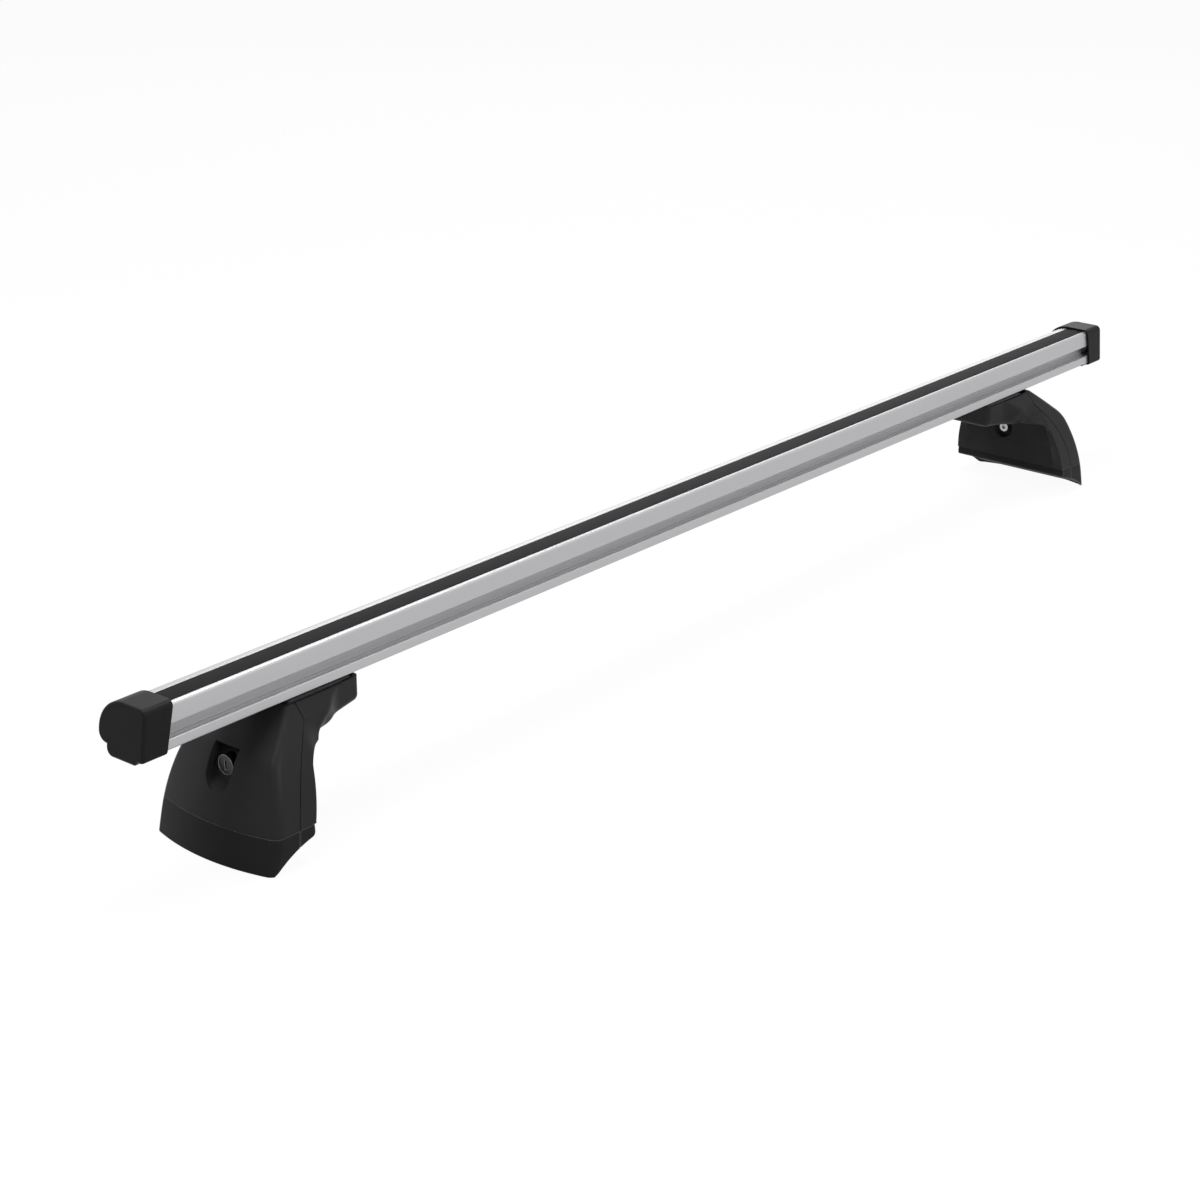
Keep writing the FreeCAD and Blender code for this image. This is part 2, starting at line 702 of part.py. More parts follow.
def face_envelope(inset):
    """Everything inboard of the foot's outer face, which curves in plan and in profile."""
    axis_x = dim("toe_reach") - dim("plan_radius")
    height, high, high_x = face_shoulder(inset)
    low = BELOW
    axis_low = Vector(axis_x, 0, low)
    axis_high = Vector(axis_x, 0, high)
    start = Vector(face_x(0.0, inset), 0, 0)
    middle = Vector(face_x(height / 2.0, inset), 0, height / 2.0)
    shoulder = Vector(face_x(height, inset), 0, height)
    crown = Vector(high_x, 0, high)
    foot = Vector(start.x, 0, low)
    edges = [
        Part.LineSegment(axis_low, foot).toShape(),
        Part.LineSegment(foot, start).toShape(),
        Part.Arc(start, middle, shoulder).toShape(),
        Part.LineSegment(shoulder, crown).toShape(),
        Part.LineSegment(crown, axis_high).toShape(),
        Part.LineSegment(axis_high, axis_low).toShape(),
    ]
    profile = Part.Face(Part.Wire(edges))
    solid = profile.revolve(Vector(axis_x, 0, 0), Vector(0, 0, 1), 360.0)
    turn = [edge for edge in solid.Edges if is_level(edge) and on_height(edge, height)]
    return solid.makeFillet(dim("shoulder_radius") - inset, turn)


def on_height(edge, height):
    """True for an edge whose ends lie at one given height."""
    return abs(edge.Vertexes[0].Z - height) < 0.01


def outer_dome(inset):
    """Sides and outer face together, with the two upright corners rounded."""
    dome = side_envelope(inset).common(face_envelope(inset))
    corners = edges_through(dome, lambda edge, middle: (
        middle.x > 0 and abs(middle.y) > dim("arm_half_width") and not is_level(edge)))
    return dome.makeFillet(dim("corner_radius") - inset * 0.5, corners)


def is_level(edge):
    """True for an edge whose ends are at one height."""
    heights = [vertex.Z for vertex in edge.Vertexes]
    return max(heights) - min(heights) < 0.01


def hood_edge_x(height):
    """Leaning inboard edge of the hood at one height."""
    slope = dim("hood_lean") / (dim("hood_high") - dim("hood_low"))
    return dim("wall_face") - slope * (height - dim("hood_low"))


def inner_profile(inset):
    """Hood edge and arm seen from the side, as a solid across the foot."""
    arm_slope = ((arm_tip_height - arm_root_height)
                 / (dim("arm_reach") - dim("arm_root_setback")))
    wall_x = dim("wall_face") + inset
    skirt_x = wall_x + dim("skirt_step")
    tip_x = -dim("arm_reach") + inset
    root = arm_root_height + inset
    lean_x = wall_x
    for _ in range(SOLVER_STEPS):
        crossing = root + arm_slope * (-dim("arm_root_setback") - lean_x)
        lean_x = hood_edge_x(crossing) + inset
    tip_low = root + arm_slope * (-dim("arm_root_setback") - tip_x)
    high = cover_top + ABOVE
    low = BELOW
    corners = [
        (FAR, low), (skirt_x, low), (skirt_x, dim("skirt_height")),
        (wall_x, dim("skirt_height")), (wall_x, dim("hood_low")), (lean_x, crossing),
        (tip_x, tip_low), (tip_x, high), (FAR, high),
    ]
    points = [Vector(x, -FAR, z) for x, z in corners]
    solid = prism(points, Vector(0, 2.0 * FAR, 0))
    blend = edges_through(solid, lambda edge, middle: (
        abs(middle.x - lean_x) < 0.01 and abs(middle.z - crossing) < 0.01))
    return solid.makeFillet(dim("arm_blend_radius") - inset, blend)


def inner_plan(inset):
    """Hood and arm seen from above: the hood flares down to the narrow arm."""
    tip_x = -dim("arm_reach") + inset
    half = dim("arm_half_width") - inset
    tip_half = half - dim("arm_taper")
    neck_x = -dim("arm_neck_setback")
    wide = dim("foot_half_width") - inset
    slope = (wide - half) / (0.0 - neck_x)
    outer = wide + slope * FAR
    side = [(FAR, outer), (neck_x, half), (tip_x, tip_half)]
    corners = side + [(x, -y) for x, y in reversed(side)]
    points = [Vector(x, y, BELOW) for x, y in corners]
    solid = prism(points, Vector(0, 0, FAR))
    necks = edges_through(solid, lambda edge, middle: (
        abs(middle.x - neck_x) < 0.01 and abs(abs(middle.y) - half) < 0.01))
    return solid.makeFillet(dim("flare_blend_radius") + inset, necks)


def inner_panel_recess(grow):
    """Space in front of the recessed inner wall, under the arm and inside the hood's rim."""
    low = dim("skirt_height")
    high = panel_top + grow
    leaning = [
        Vector(dim("wall_face") + grow, -FAR, low),
        Vector(dim("wall_face") + grow + dim("panel_lean"), -FAR, high),
        Vector(-FAR, -FAR, high), Vector(-FAR, -FAR, low),
    ]
    wedge = prism(leaning, Vector(0, 2.0 * FAR, 0))
    margin = dim("rim_margin") - grow
    start = hood_edge_x(arm_root_height)
    sections = []
    for x in (start, dim("arm_root_setback")):
        sections.append(side_outline(margin + dim("rim_draft") * x, x))
    under_arm = Part.Face(sections[0]).extrude(Vector(-dim("arm_reach"), 0, 0))
    space = Part.makeLoft(sections, True, True).fuse(under_arm)
    return wedge.common(space.removeSplitter())


def panel_x(height):
    """Where the recessed inner wall stands at one height."""
    share = (height - dim("skirt_height")) / (panel_top - dim("skirt_height"))
    return dim("wall_face") + dim("panel_lean") * share


def screw_seat_x():
    """Floor of the cover screw's pocket."""
    return panel_x(cover_screw_height.value) + dim("cover_screw_pocket_depth")


def screw_pocket(grow):
    """Round pocket of the cover screw in the recessed inner wall."""
    floor_x = screw_seat_x() + grow
    centre = Vector(floor_x - FAR, dim("cover_screw_offset"), cover_screw_height.value)
    return Part.makeCylinder(dim("cover_screw_pocket") + grow, FAR, centre, Vector(1, 0, 0))


def lock_recess(grow):
    """Slot with a round foot round the lock: it follows the face and ramps out at its foot."""
    half = dim("recess_half_width") + grow
    foot_z = recess_bottom + dim("recess_half_width")
    top = recess_top + grow
    box = Part.makeBox(FAR, 2.0 * half, top - foot_z, Vector(0, -half, foot_z))
    foot = Part.makeCylinder(half, FAR, Vector(0, 0, foot_z), Vector(1, 0, 0))
    slope = dim("recess_ramp")
    edge_x = face_x(recess_bottom, 0.0)
    edge_z = recess_bottom - grow * math.hypot(1.0, slope)
    under = [
        Vector(0, -FAR, edge_z + slope * edge_x), Vector(FAR, -FAR, edge_z - slope * (FAR - edge_x)),
        Vector(FAR, -FAR, -FAR), Vector(0, -FAR, -FAR),
    ]
    space = box.fuse(foot).removeSplitter().cut(face_envelope(dim("recess_depth") + grow))
    return space.cut(prism(under, Vector(0, 2.0 * FAR, 0)))


def roof_cylinder(grow):
    """The curved roof under the foot, as a solid across it."""
    toe_x = dim("toe_reach") - dim("toe_width")
    inner_x = dim("wall_face")
    lift = dim("inner_lift")
    chord = math.hypot(toe_x - inner_x, lift)
    to_centre = math.sqrt(dim("roof_radius") ** 2 - (chord / 2.0) ** 2)
    middle = ((toe_x + inner_x) / 2.0, lift / 2.0)
    across = (-lift / chord, -(toe_x - inner_x) / chord)
    centre = Vector(middle[0] + across[0] * to_centre, -FAR, middle[1] + across[1] * to_centre)
    return Part.makeCylinder(dim("roof_radius") + grow, 2.0 * FAR, centre, Vector(0, 1, 0))


def foot_solid(inset):
    """The whole foot as one solid, inset on all its walls."""
    solid = outer_dome(inset).common(inner_profile(inset)).common(inner_plan(inset))
    solid = with_round_arm(solid, inset)
    return solid.cut(inner_panel_recess(inset))


def with_round_arm(solid, inset):
    """Round the lower edges of the arm, then the edges of its tip."""
    tip_x = -dim("arm_reach") + inset
    lower = edges_through(solid, lambda edge, middle: (
        tip_x + THROUGH < middle.x < -dim("arm_root_setback") and is_under_arm(middle)
        and abs(middle.y) > dim("arm_half_width") / 2.0 and not is_upright(edge)))
    solid = solid.makeFillet(dim("arm_edge_radius") - inset, lower)
    tip = edges_through(solid, lambda edge, middle: (
        abs(middle.x - tip_x) < 0.01 and middle.z < cover_top + ABOVE / 2.0))
    return solid.makeFillet(dim("tip_radius") - inset / 2.0, tip)


def is_under_arm(point):
    """True near the underside of the arm."""
    margin = dim("arm_edge_radius")
    return arm_root_height - margin < point.z < arm_tip_height + margin


def is_upright(edge):
    """True for an edge that starts out vertical."""
    return abs(edge.tangentAt(edge.FirstParameter).z) > 0.9


def level_slab(low, high):
    """Everything between two heights."""
    return Part.makeBox(2.0 * FAR, 2.0 * FAR, high - low, Vector(-FAR, -FAR, low))


def inboard_of_split(gap):
    """Everything inboard of the curved split between outer and inner mouldings."""
    radius = dim("split_radius") - gap
    centre_x = dim("split_reach") - dim("split_radius")
    centre = Vector(centre_x, -FAR, dim("split_centre_height"))
    curved = Part.makeCylinder(radius, 2.0 * FAR, centre, Vector(0, 1, 0))
    upright = Part.makeBox(FAR, 2.0 * FAR, FAR,
                           Vector(-dim("split_top_setback") - gap - FAR, -FAR, BELOW))
    return curved.fuse(upright)


def inner_cover_zone(grow, gap):
    """Everything that belongs to the inner cover: inboard of the split, and its own walls."""
    return inboard_of_split(gap).fuse(inner_panel_recess(grow)).fuse(screw_pocket(grow))


def foot_mouldings():
    """Outer and inner cover and skirt of one foot, from one hollow shell."""
    wall = dim("shell_wall")
    outside = with_skirt_corner(foot_solid(0.0).cut(roof_cylinder(0.0)))
    outside = outside.cut(lock_recess(0.0)).cut(screw_pocket(0.0))
    inside = foot_solid(wall).cut(lock_recess(wall)).cut(screw_pocket(wall))
    shell = outside.cut(inside)
    seam = dim("skirt_height")
    half_gap = dim("seam_gap") / 2.0
    upper = shell.common(level_slab(seam + half_gap, cover_top))
    lower = shell.common(level_slab(0.0, seam - half_gap))
    split_gap = dim("split_gap")
    inner_cover = upper.common(inner_cover_zone(wall, split_gap))
    outer_cover = upper.cut(inner_cover_zone(wall + split_gap, 0.0))
    return {
        "outer_cover": with_lock_boss(outer_cover, inside),
        "outer_skirt": lower.cut(inboard_of_split(0.0)),
        "inner_cover": with_screw_holes(inner_cover),
        "inner_skirt": lower.common(inboard_of_split(split_gap)),
    }


def with_skirt_corner(solid):
    """Round the inner skirt's lower corner, where it meets the underside."""
    skirt_x = dim("wall_face") + dim("skirt_step")
    corner = edges_through(solid, lambda edge, middle: (
        abs(middle.x - skirt_x) < 0.01 and 0.0 < middle.z < dim("inner_lift") + THROUGH
        and abs(edge.tangentAt(edge.FirstParameter).y) > 0.999))
    return solid.makeFillet(dim("skirt_corner_radius"), corner)


def cylinder_x(radius, start, end, height, across=0.0):
    """A cylinder along X, on the foot's middle plane unless it is set across."""
    return Part.makeCylinder(radius, end - start, Vector(start, across, height), Vector(1, 0, 0))


def with_lock_boss(cover, inside):
    """The outer cover with the tubular boss that holds the lock barrel."""
    height = lock_height.value
    bore = dim("barrel_radius") + dim("fixed_gap")
    boss_end = cam_face() + dim("cam_gap") + dim("catch_thickness") + dim("cam_gap")
    boss = cylinder_x(bore + dim("boss_wall"), boss_end, dim("lock_reach"), height)
    boss = boss.common(inside)
    return cover.fuse(boss).cut(cylinder_x(bore, boss_end - THROUGH, FAR, height)).removeSplitter()


def with_screw_holes(cover):
    """The inner cover with its screw hole and the wrench hole under the clamp screw."""
    bore = dim("cover_screw_radius") + dim("fixed_gap")
    cover = cover.cut(cylinder_x(bore, -FAR, dim("web_setback"), cover_screw_height.value,
                                 dim("cover_screw_offset")))
    wrench = Part.makeCylinder(dim("wrench_hole_radius"), platform_low().value,
                               Vector(-dim("clamp_setback"), 0, 0))
    return cover.cut(wrench).removeSplitter()


def cam_face():
    """Outboard face of the lock cam."""
    return dim("lock_reach") - dim("barrel_length") - dim("cam_setback")


def core_shape():
    """Cast core: base plate, two ribs joined by a web, and the platform under the bar."""
    wall = dim("shell_wall")
    room = foot_solid(wall + dim("core_gap")).cut(lock_recess(wall + dim("core_gap")))
    room = room.cut(screw_pocket(wall + dim("core_gap") / 2.0))
    rib = dim("rib_inner")
    core = core_base()
    for side in (rib, -rib - dim("rib_thickness")):
        core = core.fuse(core_rib(side))
    core = core.fuse(core_web()).fuse(core_platform()).common(room).fuse(core_catch())
    core = core.cut(roof_bolt_holes(dim("roof_bolt_radius")))
    shank = dim("screw_radius") + dim("screw_hole_gap")
    core = core.cut(Part.makeCylinder(shank, FAR, Vector(-dim("clamp_setback"), 0, 0)))
    screw = dim("cover_screw_radius") + dim("fixed_gap")
    web_back = dim("web_setback") + dim("web_thickness")
    core = core.cut(cylinder_x(screw, -FAR, web_back, cover_screw_height.value,
                               dim("cover_screw_offset")))
    return core.removeSplitter()


def core_base():
    """Base plate of the core, from the ribs' inner edge to the toe."""
    start = dim("rib_setback")
    half = dim("foot_half_width")
    return Part.makeBox(dim("base_reach") - start, 2.0 * half, dim("base_thickness"),
                        Vector(start, -half, dim("base_height")))


def core_rib(side):
    """One upright rib of the core, which runs on into the arm."""
    base_top = dim("base_height") + dim("base_thickness")
    deck = saddle_low().value
    tip_x = -dim("arm_reach") + dim("tip_gap")
    corners = [
        (dim("rib_setback"), dim("base_height")), (dim("base_reach"), dim("base_height")),
        (dim("base_reach"), base_top), (dim("lock_reach"), recess_top),
        (-dim("platform_setback"), deck), (tip_x, deck), (tip_x, panel_top),
        (dim("rib_setback"), panel_top),
    ]
    points = [Vector(x, side, z) for x, z in corners]
    return prism(points, Vector(0, dim("rib_thickness"), 0))


def core_web():
    """Web between the ribs, with a window for the end of the lock."""
    low = dim("base_height")
    half = dim("rib_inner") + dim("rib_thickness") / 2.0
    web = Part.makeBox(dim("web_thickness"), 2.0 * half, web_top - low,
                       Vector(dim("web_setback"), -half, low))
    return web.cut(cylinder_x(dim("web_window_radius"), 0.0, FAR, lock_height.value))


def core_platform():
    """Platform under the bar, which carries the saddle and takes the clamp screw."""
    tip_x = -dim("arm_reach") + dim("tip_gap")
    half = dim("platform_half_width")
    return Part.makeBox(-dim("platform_setback") - tip_x, 2.0 * half, dim("platform_thickness"),
                        Vector(tip_x, -half, platform_low().value))


def core_catch():
    """Catch on one rib that the lock's cam turns behind."""
    start = dim("rib_inner") - dim("catch_reach")
    half = dim("catch_half_height")
    return Part.makeBox(dim("catch_thickness"), dim("catch_reach") + dim("rib_thickness") / 2.0,
                        2.0 * half,
                        Vector(cam_face() + dim("cam_gap"), start, lock_height.value - half))


def roof_bolt_holes(radius):
    """Upright cylinders at the two roof bolts."""
    holes = []
    for side in (1.0, -1.0):
        bolt = Vector(dim("roof_bolt_reach"), side * dim("roof_bolt_spacing") / 2.0, 0)
        holes.append(Part.makeCylinder(radius, lock_height.value, bolt))
    return holes[0].fuse(holes[1])


def saddle_low():
    """Top of the core's platform, where the rubber saddle lies."""
    return belly_bottom - size("seat_gap") - size("saddle_thickness")


def base_pad_shape():
    """Rubber pad under the base plate, moulded to the roof's curve."""
    room = foot_solid(dim("shell_wall") + dim("core_gap")).cut(roof_cylinder(dim("pad_lift")))
    start = dim("rib_setback")
    half = dim("foot_half_width")
    block = Part.makeBox(dim("base_reach") - start, 2.0 * half, dim("base_height"),
                         Vector(start, -half, 0))
    return room.common(block).cut(roof_bolt_holes(dim("pad_hole_radius"))).removeSplitter()


def foot_placement(side):
    """Both feet are the same mouldings: the left one is turned round."""
    turn = Rotation(Vector(0, 0, 1), 0.0 if side > 0 else 180.0)
    return Placement(Vector(side * foot_station.value, 0, 0), turn)


def place_in_foot(body, side, along, up, across=None):
    """Place a body in a foot and tie its place to the sheet."""
    station = foot_station + along
    across = across if across is not None else ZERO
    body.Placement = foot_placement(side)
    for axis, length in (("x", station), ("y", across)):
        body.setExpression("Placement.Base." + axis, length.text if side > 0 else (-length).text)
    body.setExpression("Placement.Base.z", up.text)


def turn_profile(body, corners, plane, axis):
    """Revolve a closed outline about one axis of its sketch."""
    sketch = new_sketch(body, "profile", plane)
    draw_outline(sketch, corners)
    turned = body.newObject("PartDesign::Revolution", "turned_" + body.Label)
    turned.Profile = sketch
    turned.ReferenceAxis = (sketch, [axis])
    turned.Angle = 360.0
    doc.recompute()
    return turned


# Volume that a cut must at least take away, in cubic millimetres.
LEAST_CUT = 1.0


def cut_profile(body, name, corners, plane, offset, depth, reverse):
    """Cut a closed outline into a body and make sure that it took material away."""
    before = body.Shape.Volume
    sketch = new_sketch(body, name, plane)
    draw_outline(sketch, corners)
    sketch.AttachmentOffset = Placement(Vector(0, 0, offset.value), Rotation())
    sketch.setExpression("AttachmentOffset.Base.z", offset.text)
    pocket = body.newObject("PartDesign::Pocket", name + "_cut_" + body.Label)
    pocket.Profile = sketch
    pocket.Reversed = reverse
    bind(pocket, "Length", depth)
    doc.recompute()
    if body.Shape.Volume > before - LEAST_CUT:
        raise ValueError("%s cuts nothing in %s" % (name, body.Label))
    return pocket


def hexagon(across):
    """Corners of a hexagon socket."""
    reach = across * (1.0 / math.sqrt(3.0))
    turns = [math.radians(60.0 * number) for number in range(6)]
    return [(reach * math.cos(turn), reach * math.sin(turn)) for turn in turns]


def make_clamp_screw(label, side):
    """Clamp screw: its head hangs under the platform, its shank rises into the nut."""
    body = new_body(label)
    shank = size("screw_radius")
    head = size("screw_head_radius")
    top = clamp_rise()
    corners = [
        (ZERO, -size("screw_head")), (head, -size("screw_head")), (head, ZERO), (shank, ZERO),
        (shank, top), (ZERO, top),
    ]
    turn_profile(body, corners, "XZ_Plane", "V_Axis")
    cut_profile(body, "socket", hexagon(size("socket_across")), "XY_Plane",
                -size("screw_head"), size("socket_depth"), True)
    place_in_foot(body, side, -size("clamp_setback"), washer_low())


def platform_low():
    """Underside of the platform."""
    return saddle_low() - size("platform_thickness")


def washer_low():
    """Where the screw's head meets its washer."""
    return platform_low() - size("washer_thickness") - size("seat_gap")


def nut_low():
    """Underside of the clamp nut, on the lips of the channel."""
    return channel_floor + size("seat_gap")


def clamp_rise():
    """Length of the clamp screw from its head to just past the nut."""
    return nut_low() + size("nut_thickness") + size("screw_tip") - washer_low()


def make_washer(label, side):
    """Washer between the screw's head and the platform."""
    body = new_body(label)
    sketch = new_sketch(body, "ring", "XY_Plane")
    centre = (0.0, 0.0)
    draw_circle(sketch, centre, size("washer_radius"))
    draw_circle(sketch, centre, size("screw_radius") + size("screw_hole_gap"))
    pad_sketch(body, "plate", sketch, size("washer_thickness"))
    place_in_foot(body, side, -size("clamp_setback"), platform_low() - size("washer_thickness"))


def plate_outline(half_length, half_width):
    """Corners of a rectangle about the origin."""
    return [
        (-half_length, -half_width), (half_length, -half_width),
        (half_length, half_width), (-half_length, half_width),
    ]


def make_clamp_nut(label, side):
    """Long nut plate that pulls on both lips of the clamp channel."""
    body = new_body(label)
    sketch = new_sketch(body, "plate", "XY_Plane")
    half_width = half_channel - size("nut_gap")
    draw_outline(sketch, plate_outline(size("nut_length") * 0.5, half_width))
    draw_circle(sketch, (0.0, 0.0), size("screw_radius") + size("running_gap"))
    pad_sketch(body, "block", sketch, size("nut_thickness"))
    place_in_foot(body, side, -size("clamp_setback"), nut_low())


def make_saddle(label, side):
    """Rubber saddle between the platform and the bar's belly."""
    body = new_body(label)
    sketch = new_sketch(body, "sheet", "XY_Plane")
    tip = size("arm_reach") - size("tip_gap")
    inner = size("clamp_setback") - tip
    outer = size("clamp_setback") - size("platform_setback")
    half = size("saddle_half_width")
    corners = [(inner, -half), (outer, -half), (outer, half), (inner, half)]
    draw_outline(sketch, corners)
    draw_circle(sketch, (0.0, 0.0), size("screw_radius") + size("saddle_hole_gap"))
    pad_sketch(body, "pad", sketch, size("saddle_thickness"))
    place_in_foot(body, side, -size("clamp_setback"), saddle_low())


def make_lock_barrel(label, side):
    """Lock barrel: a tube whose front is bored wider for the plug's face."""
    body = new_body(label)
    outer = size("barrel_radius")
    length = size("barrel_length")
    bore = size("plug_radius") + size("running_gap")
    face_bore = outer - size("barrel_rim")
    face_depth = size("plug_head") + size("face_gap")
    corners = [
        (-length, bore), (-face_depth, bore), (-face_depth, face_bore),
        (ZERO, face_bore), (ZERO, outer), (-length, outer),
    ]
    turn_profile(body, corners, "XZ_Plane", "H_Axis")
    place_in_foot(body, side, size("lock_reach"), lock_height)


def make_lock_plug(label, side):
    """Lock plug: a slotted face on a shaft that carries the cam."""
    body = new_body(label)
    face = size("barrel_radius") - size("barrel_rim") - size("running_gap")
    back = -size("plug_head")
    front = -size("face_sink")
    shaft = size("plug_radius")
    shoulder = -(size("barrel_length") + size("cam_setback"))
    tail = size("tail_shaft_radius")
    end = shoulder - size("cam_thickness")
    corners = [
        (end, size("cam_screw_radius") + size("running_gap")), (end, tail), (shoulder, tail),
        (shoulder, shaft), (back, shaft), (back, face), (front, face), (front, ZERO),
        (end + size("cam_screw_bore"), ZERO),
        (end + size("cam_screw_bore"), size("cam_screw_radius") + size("running_gap")),
    ]
    turn_profile(body, corners, "XZ_Plane", "H_Axis")
    slot = plate_outline(size("key_slot_width") * 0.5, size("key_slot_height") * 0.5)
    cut_profile(body, "key_slot", slot, "YZ_Plane", front, size("key_slot_depth"), False)
    place_in_foot(body, side, size("lock_reach"), lock_height)


def make_lock_cam(label, side):
    """Cam on the plug's tail, hanging clear of the catch until the key is turned."""
    body = new_body(label)
    sketch = new_sketch(body, "plate", "YZ_Plane")
    half = size("cam_half_width")
    draw_outline(sketch, [(-half, -size("cam_reach")), (half, -size("cam_reach")),
                          (half, half), (-half, half)])
    draw_circle(sketch, (0.0, 0.0), size("tail_shaft_radius") + size("running_gap"))
    pad_sketch(body, "blade", sketch, size("cam_thickness"))
    along = size("lock_reach") - size("barrel_length") - size("cam_setback")
    place_in_foot(body, side, along - size("cam_thickness"), lock_height)


def make_cam_screw(label, side):
    """Screw that holds the cam on the plug."""
    body = new_body(label)
    shank = size("cam_screw_radius")
    head = size("cam_screw_head_radius")
    corners = [
        (-size("cam_screw_head"), ZERO), (-size("cam_screw_head"), head), (ZERO, head),
        (ZERO, shank), (size("cam_screw_bore") - size("screw_tip"), shank),
        (size("cam_screw_bore") - size("screw_tip"), ZERO),
    ]
    turn_profile(body, corners, "XZ_Plane", "H_Axis")
    along = size("lock_reach") - size("barrel_length") - size("cam_setback")
    along = along - size("cam_thickness") - size("seat_gap")
    place_in_foot(body, side, along, lock_height)


def make_cover_screw(label, side):
    """Screw that holds the inner cover on the core's web."""
    body = new_body(label)
    shank = size("cover_screw_radius")
    head = size("cover_screw_head_radius")
    top = size("cover_screw_head")
    seat = as_size(screw_seat_x()) - size("seat_gap")
    reach = size("web_setback") + size("web_thickness") - seat
    corners = [(-top, ZERO), (-top, head), (ZERO, head), (ZERO, shank), (reach, shank), (reach, ZERO)]
    turn_profile(body, corners, "XZ_Plane", "H_Axis")
    cut_profile(body, "socket", hexagon(size("cover_screw_socket")), "YZ_Plane",
                -top, size("cover_screw_socket_depth"), True)
    place_in_foot(body, side, seat, cover_screw_height, size("cover_screw_offset"))


def make_feet():
    """Both feet, from the same mouldings, castings and fasteners."""
    mouldings = foot_mouldings()
    core = core_shape()
    pad = base_pad_shape()
    for name, side in (("left", -1.0), ("right", 1.0)):
        placement = foot_placement(side)
        new_feature(name + "_foot_core", core, placement)
        new_feature(name + "_base_pad", pad, placement)
        make_saddle(name + "_saddle_pad", side)
        make_clamp_nut(name + "_clamp_nut", side)
        make_clamp_screw(name + "_clamp_screw", side)
        make_washer(name + "_clamp_washer", side)
        for moulding, shape in mouldings.items():
            new_feature(name + "_" + moulding, shape, placement)
        make_cover_screw(name + "_cover_screw", side)
        make_lock_barrel(name + "_lock_barrel", side)
        make_lock_plug(name + "_lock_plug", side)
        make_lock_cam(name + "_lock_cam", side)
        make_cam_screw(name + "_cam_screw", side)


def write_parts():
    """Check every object, then write each sub-part's solids."""
    doc.recompute()
    for item in doc.Objects:
        if "Invalid" in item.State or "Error" in item.State:
            raise ValueError("%s is not sound: %s" % (item.Label, item.State))
    for label, part in SUB_PARTS.items():
        if part.Shape.isNull() or not part.Shape.isValid():
            raise ValueError("%s has no sound shape" % label)
    for label, part in SUB_PARTS.items():
        part.Shape.exportStep(os.path.join("parts", label + ".step"))
        print("%-24s %d solid  %10.1f mm3" % (label, len(part.Shape.Solids), part.Shape.Volume))


os.makedirs("parts", exist_ok=True)
make_bar()
make_strip(size("bar_length") - size("cap_grip") * 2.0 - size("strip_end_gap") * 2.0)
make_caps()
make_feet()
write_parts()
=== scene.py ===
import math

import bmesh
import bpy
from mathutils import Matrix, Vector


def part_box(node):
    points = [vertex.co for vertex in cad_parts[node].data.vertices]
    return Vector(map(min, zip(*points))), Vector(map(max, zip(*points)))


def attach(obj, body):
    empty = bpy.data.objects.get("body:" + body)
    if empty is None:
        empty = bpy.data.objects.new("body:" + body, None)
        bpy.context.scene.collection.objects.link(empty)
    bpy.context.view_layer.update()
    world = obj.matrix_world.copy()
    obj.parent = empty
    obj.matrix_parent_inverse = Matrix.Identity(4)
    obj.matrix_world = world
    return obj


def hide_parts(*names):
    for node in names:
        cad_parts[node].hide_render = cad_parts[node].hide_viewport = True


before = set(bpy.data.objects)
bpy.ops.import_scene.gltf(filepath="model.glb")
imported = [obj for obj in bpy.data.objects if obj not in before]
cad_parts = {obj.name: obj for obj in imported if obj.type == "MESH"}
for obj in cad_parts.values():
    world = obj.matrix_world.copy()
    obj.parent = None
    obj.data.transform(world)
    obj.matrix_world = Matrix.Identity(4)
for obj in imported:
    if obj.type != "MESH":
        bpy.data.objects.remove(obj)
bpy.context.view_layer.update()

# The bar: one aluminium extrusion, sawn to length and anodised satin silver. Its section has
# a rounded nose at the back, a flat front with an open slot for bolt heads, a slot on top for
# the rubber strip, and a channel underneath that the feet clamp to.
bar_low, bar_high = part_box("bar_extrusion")
BAR_WALL = 0.0022
SAWN_EDGE = 0.00035
INNER_EDGE = 0.0003
FRONT_TOP_RADIUS = 0.0030
FRONT_LOW_RADIUS = 0.0012
NOSE_RADIUS = 0.0220
TAIL_RADIUS = 0.0086
TAIL_RISE = 0.0054
BELLY_DROP = 0.0032
BELLY_RADIUS = 0.0050
SLOPE_START = 0.0040
SLOPE_END = 0.0080
TOP_SLOT_SETBACK = 0.0037
TOP_SLOT_WIDTH = 0.0200
TOP_SLOT_DEPTH = 0.0070
TOP_SLOT_UNDERCUT = 0.0015
TOP_SLOT_LIP = 0.0020
CHANNEL_HALF = 0.0080
CHANNEL_HEIGHT = 0.0085
CHANNEL_LIP = 0.0027
CHANNEL_MOUTH_HALF = 0.0046
SIDE_SLOT_RISE = 0.0085
SIDE_SLOT_MOUTH = 0.0116
SIDE_SLOT_DEPTH = 0.0110
SIDE_SLOT_UNDERCUT = 0.0030
SIDE_SLOT_LIP = 0.0024
SIDE_SLOT_LIP_EDGE = 0.0009
SIDE_STEP_RISE = 0.0015
SIDE_STEP_DEPTH = 0.0030
ARC_STEP = math.radians(11)
STRAIGHT_TURN = 0.01
SHARP_ANGLE = math.radians(40)
ALUMINIUM = (0.46, 0.46, 0.47, 1.0)
# A lighter aluminium for the side slot's inside: painted light against the recess's shade.
SLOT_PAINTED_LIGHT_ALUMINIUM = (0.50, 0.50, 0.51, 1.0)
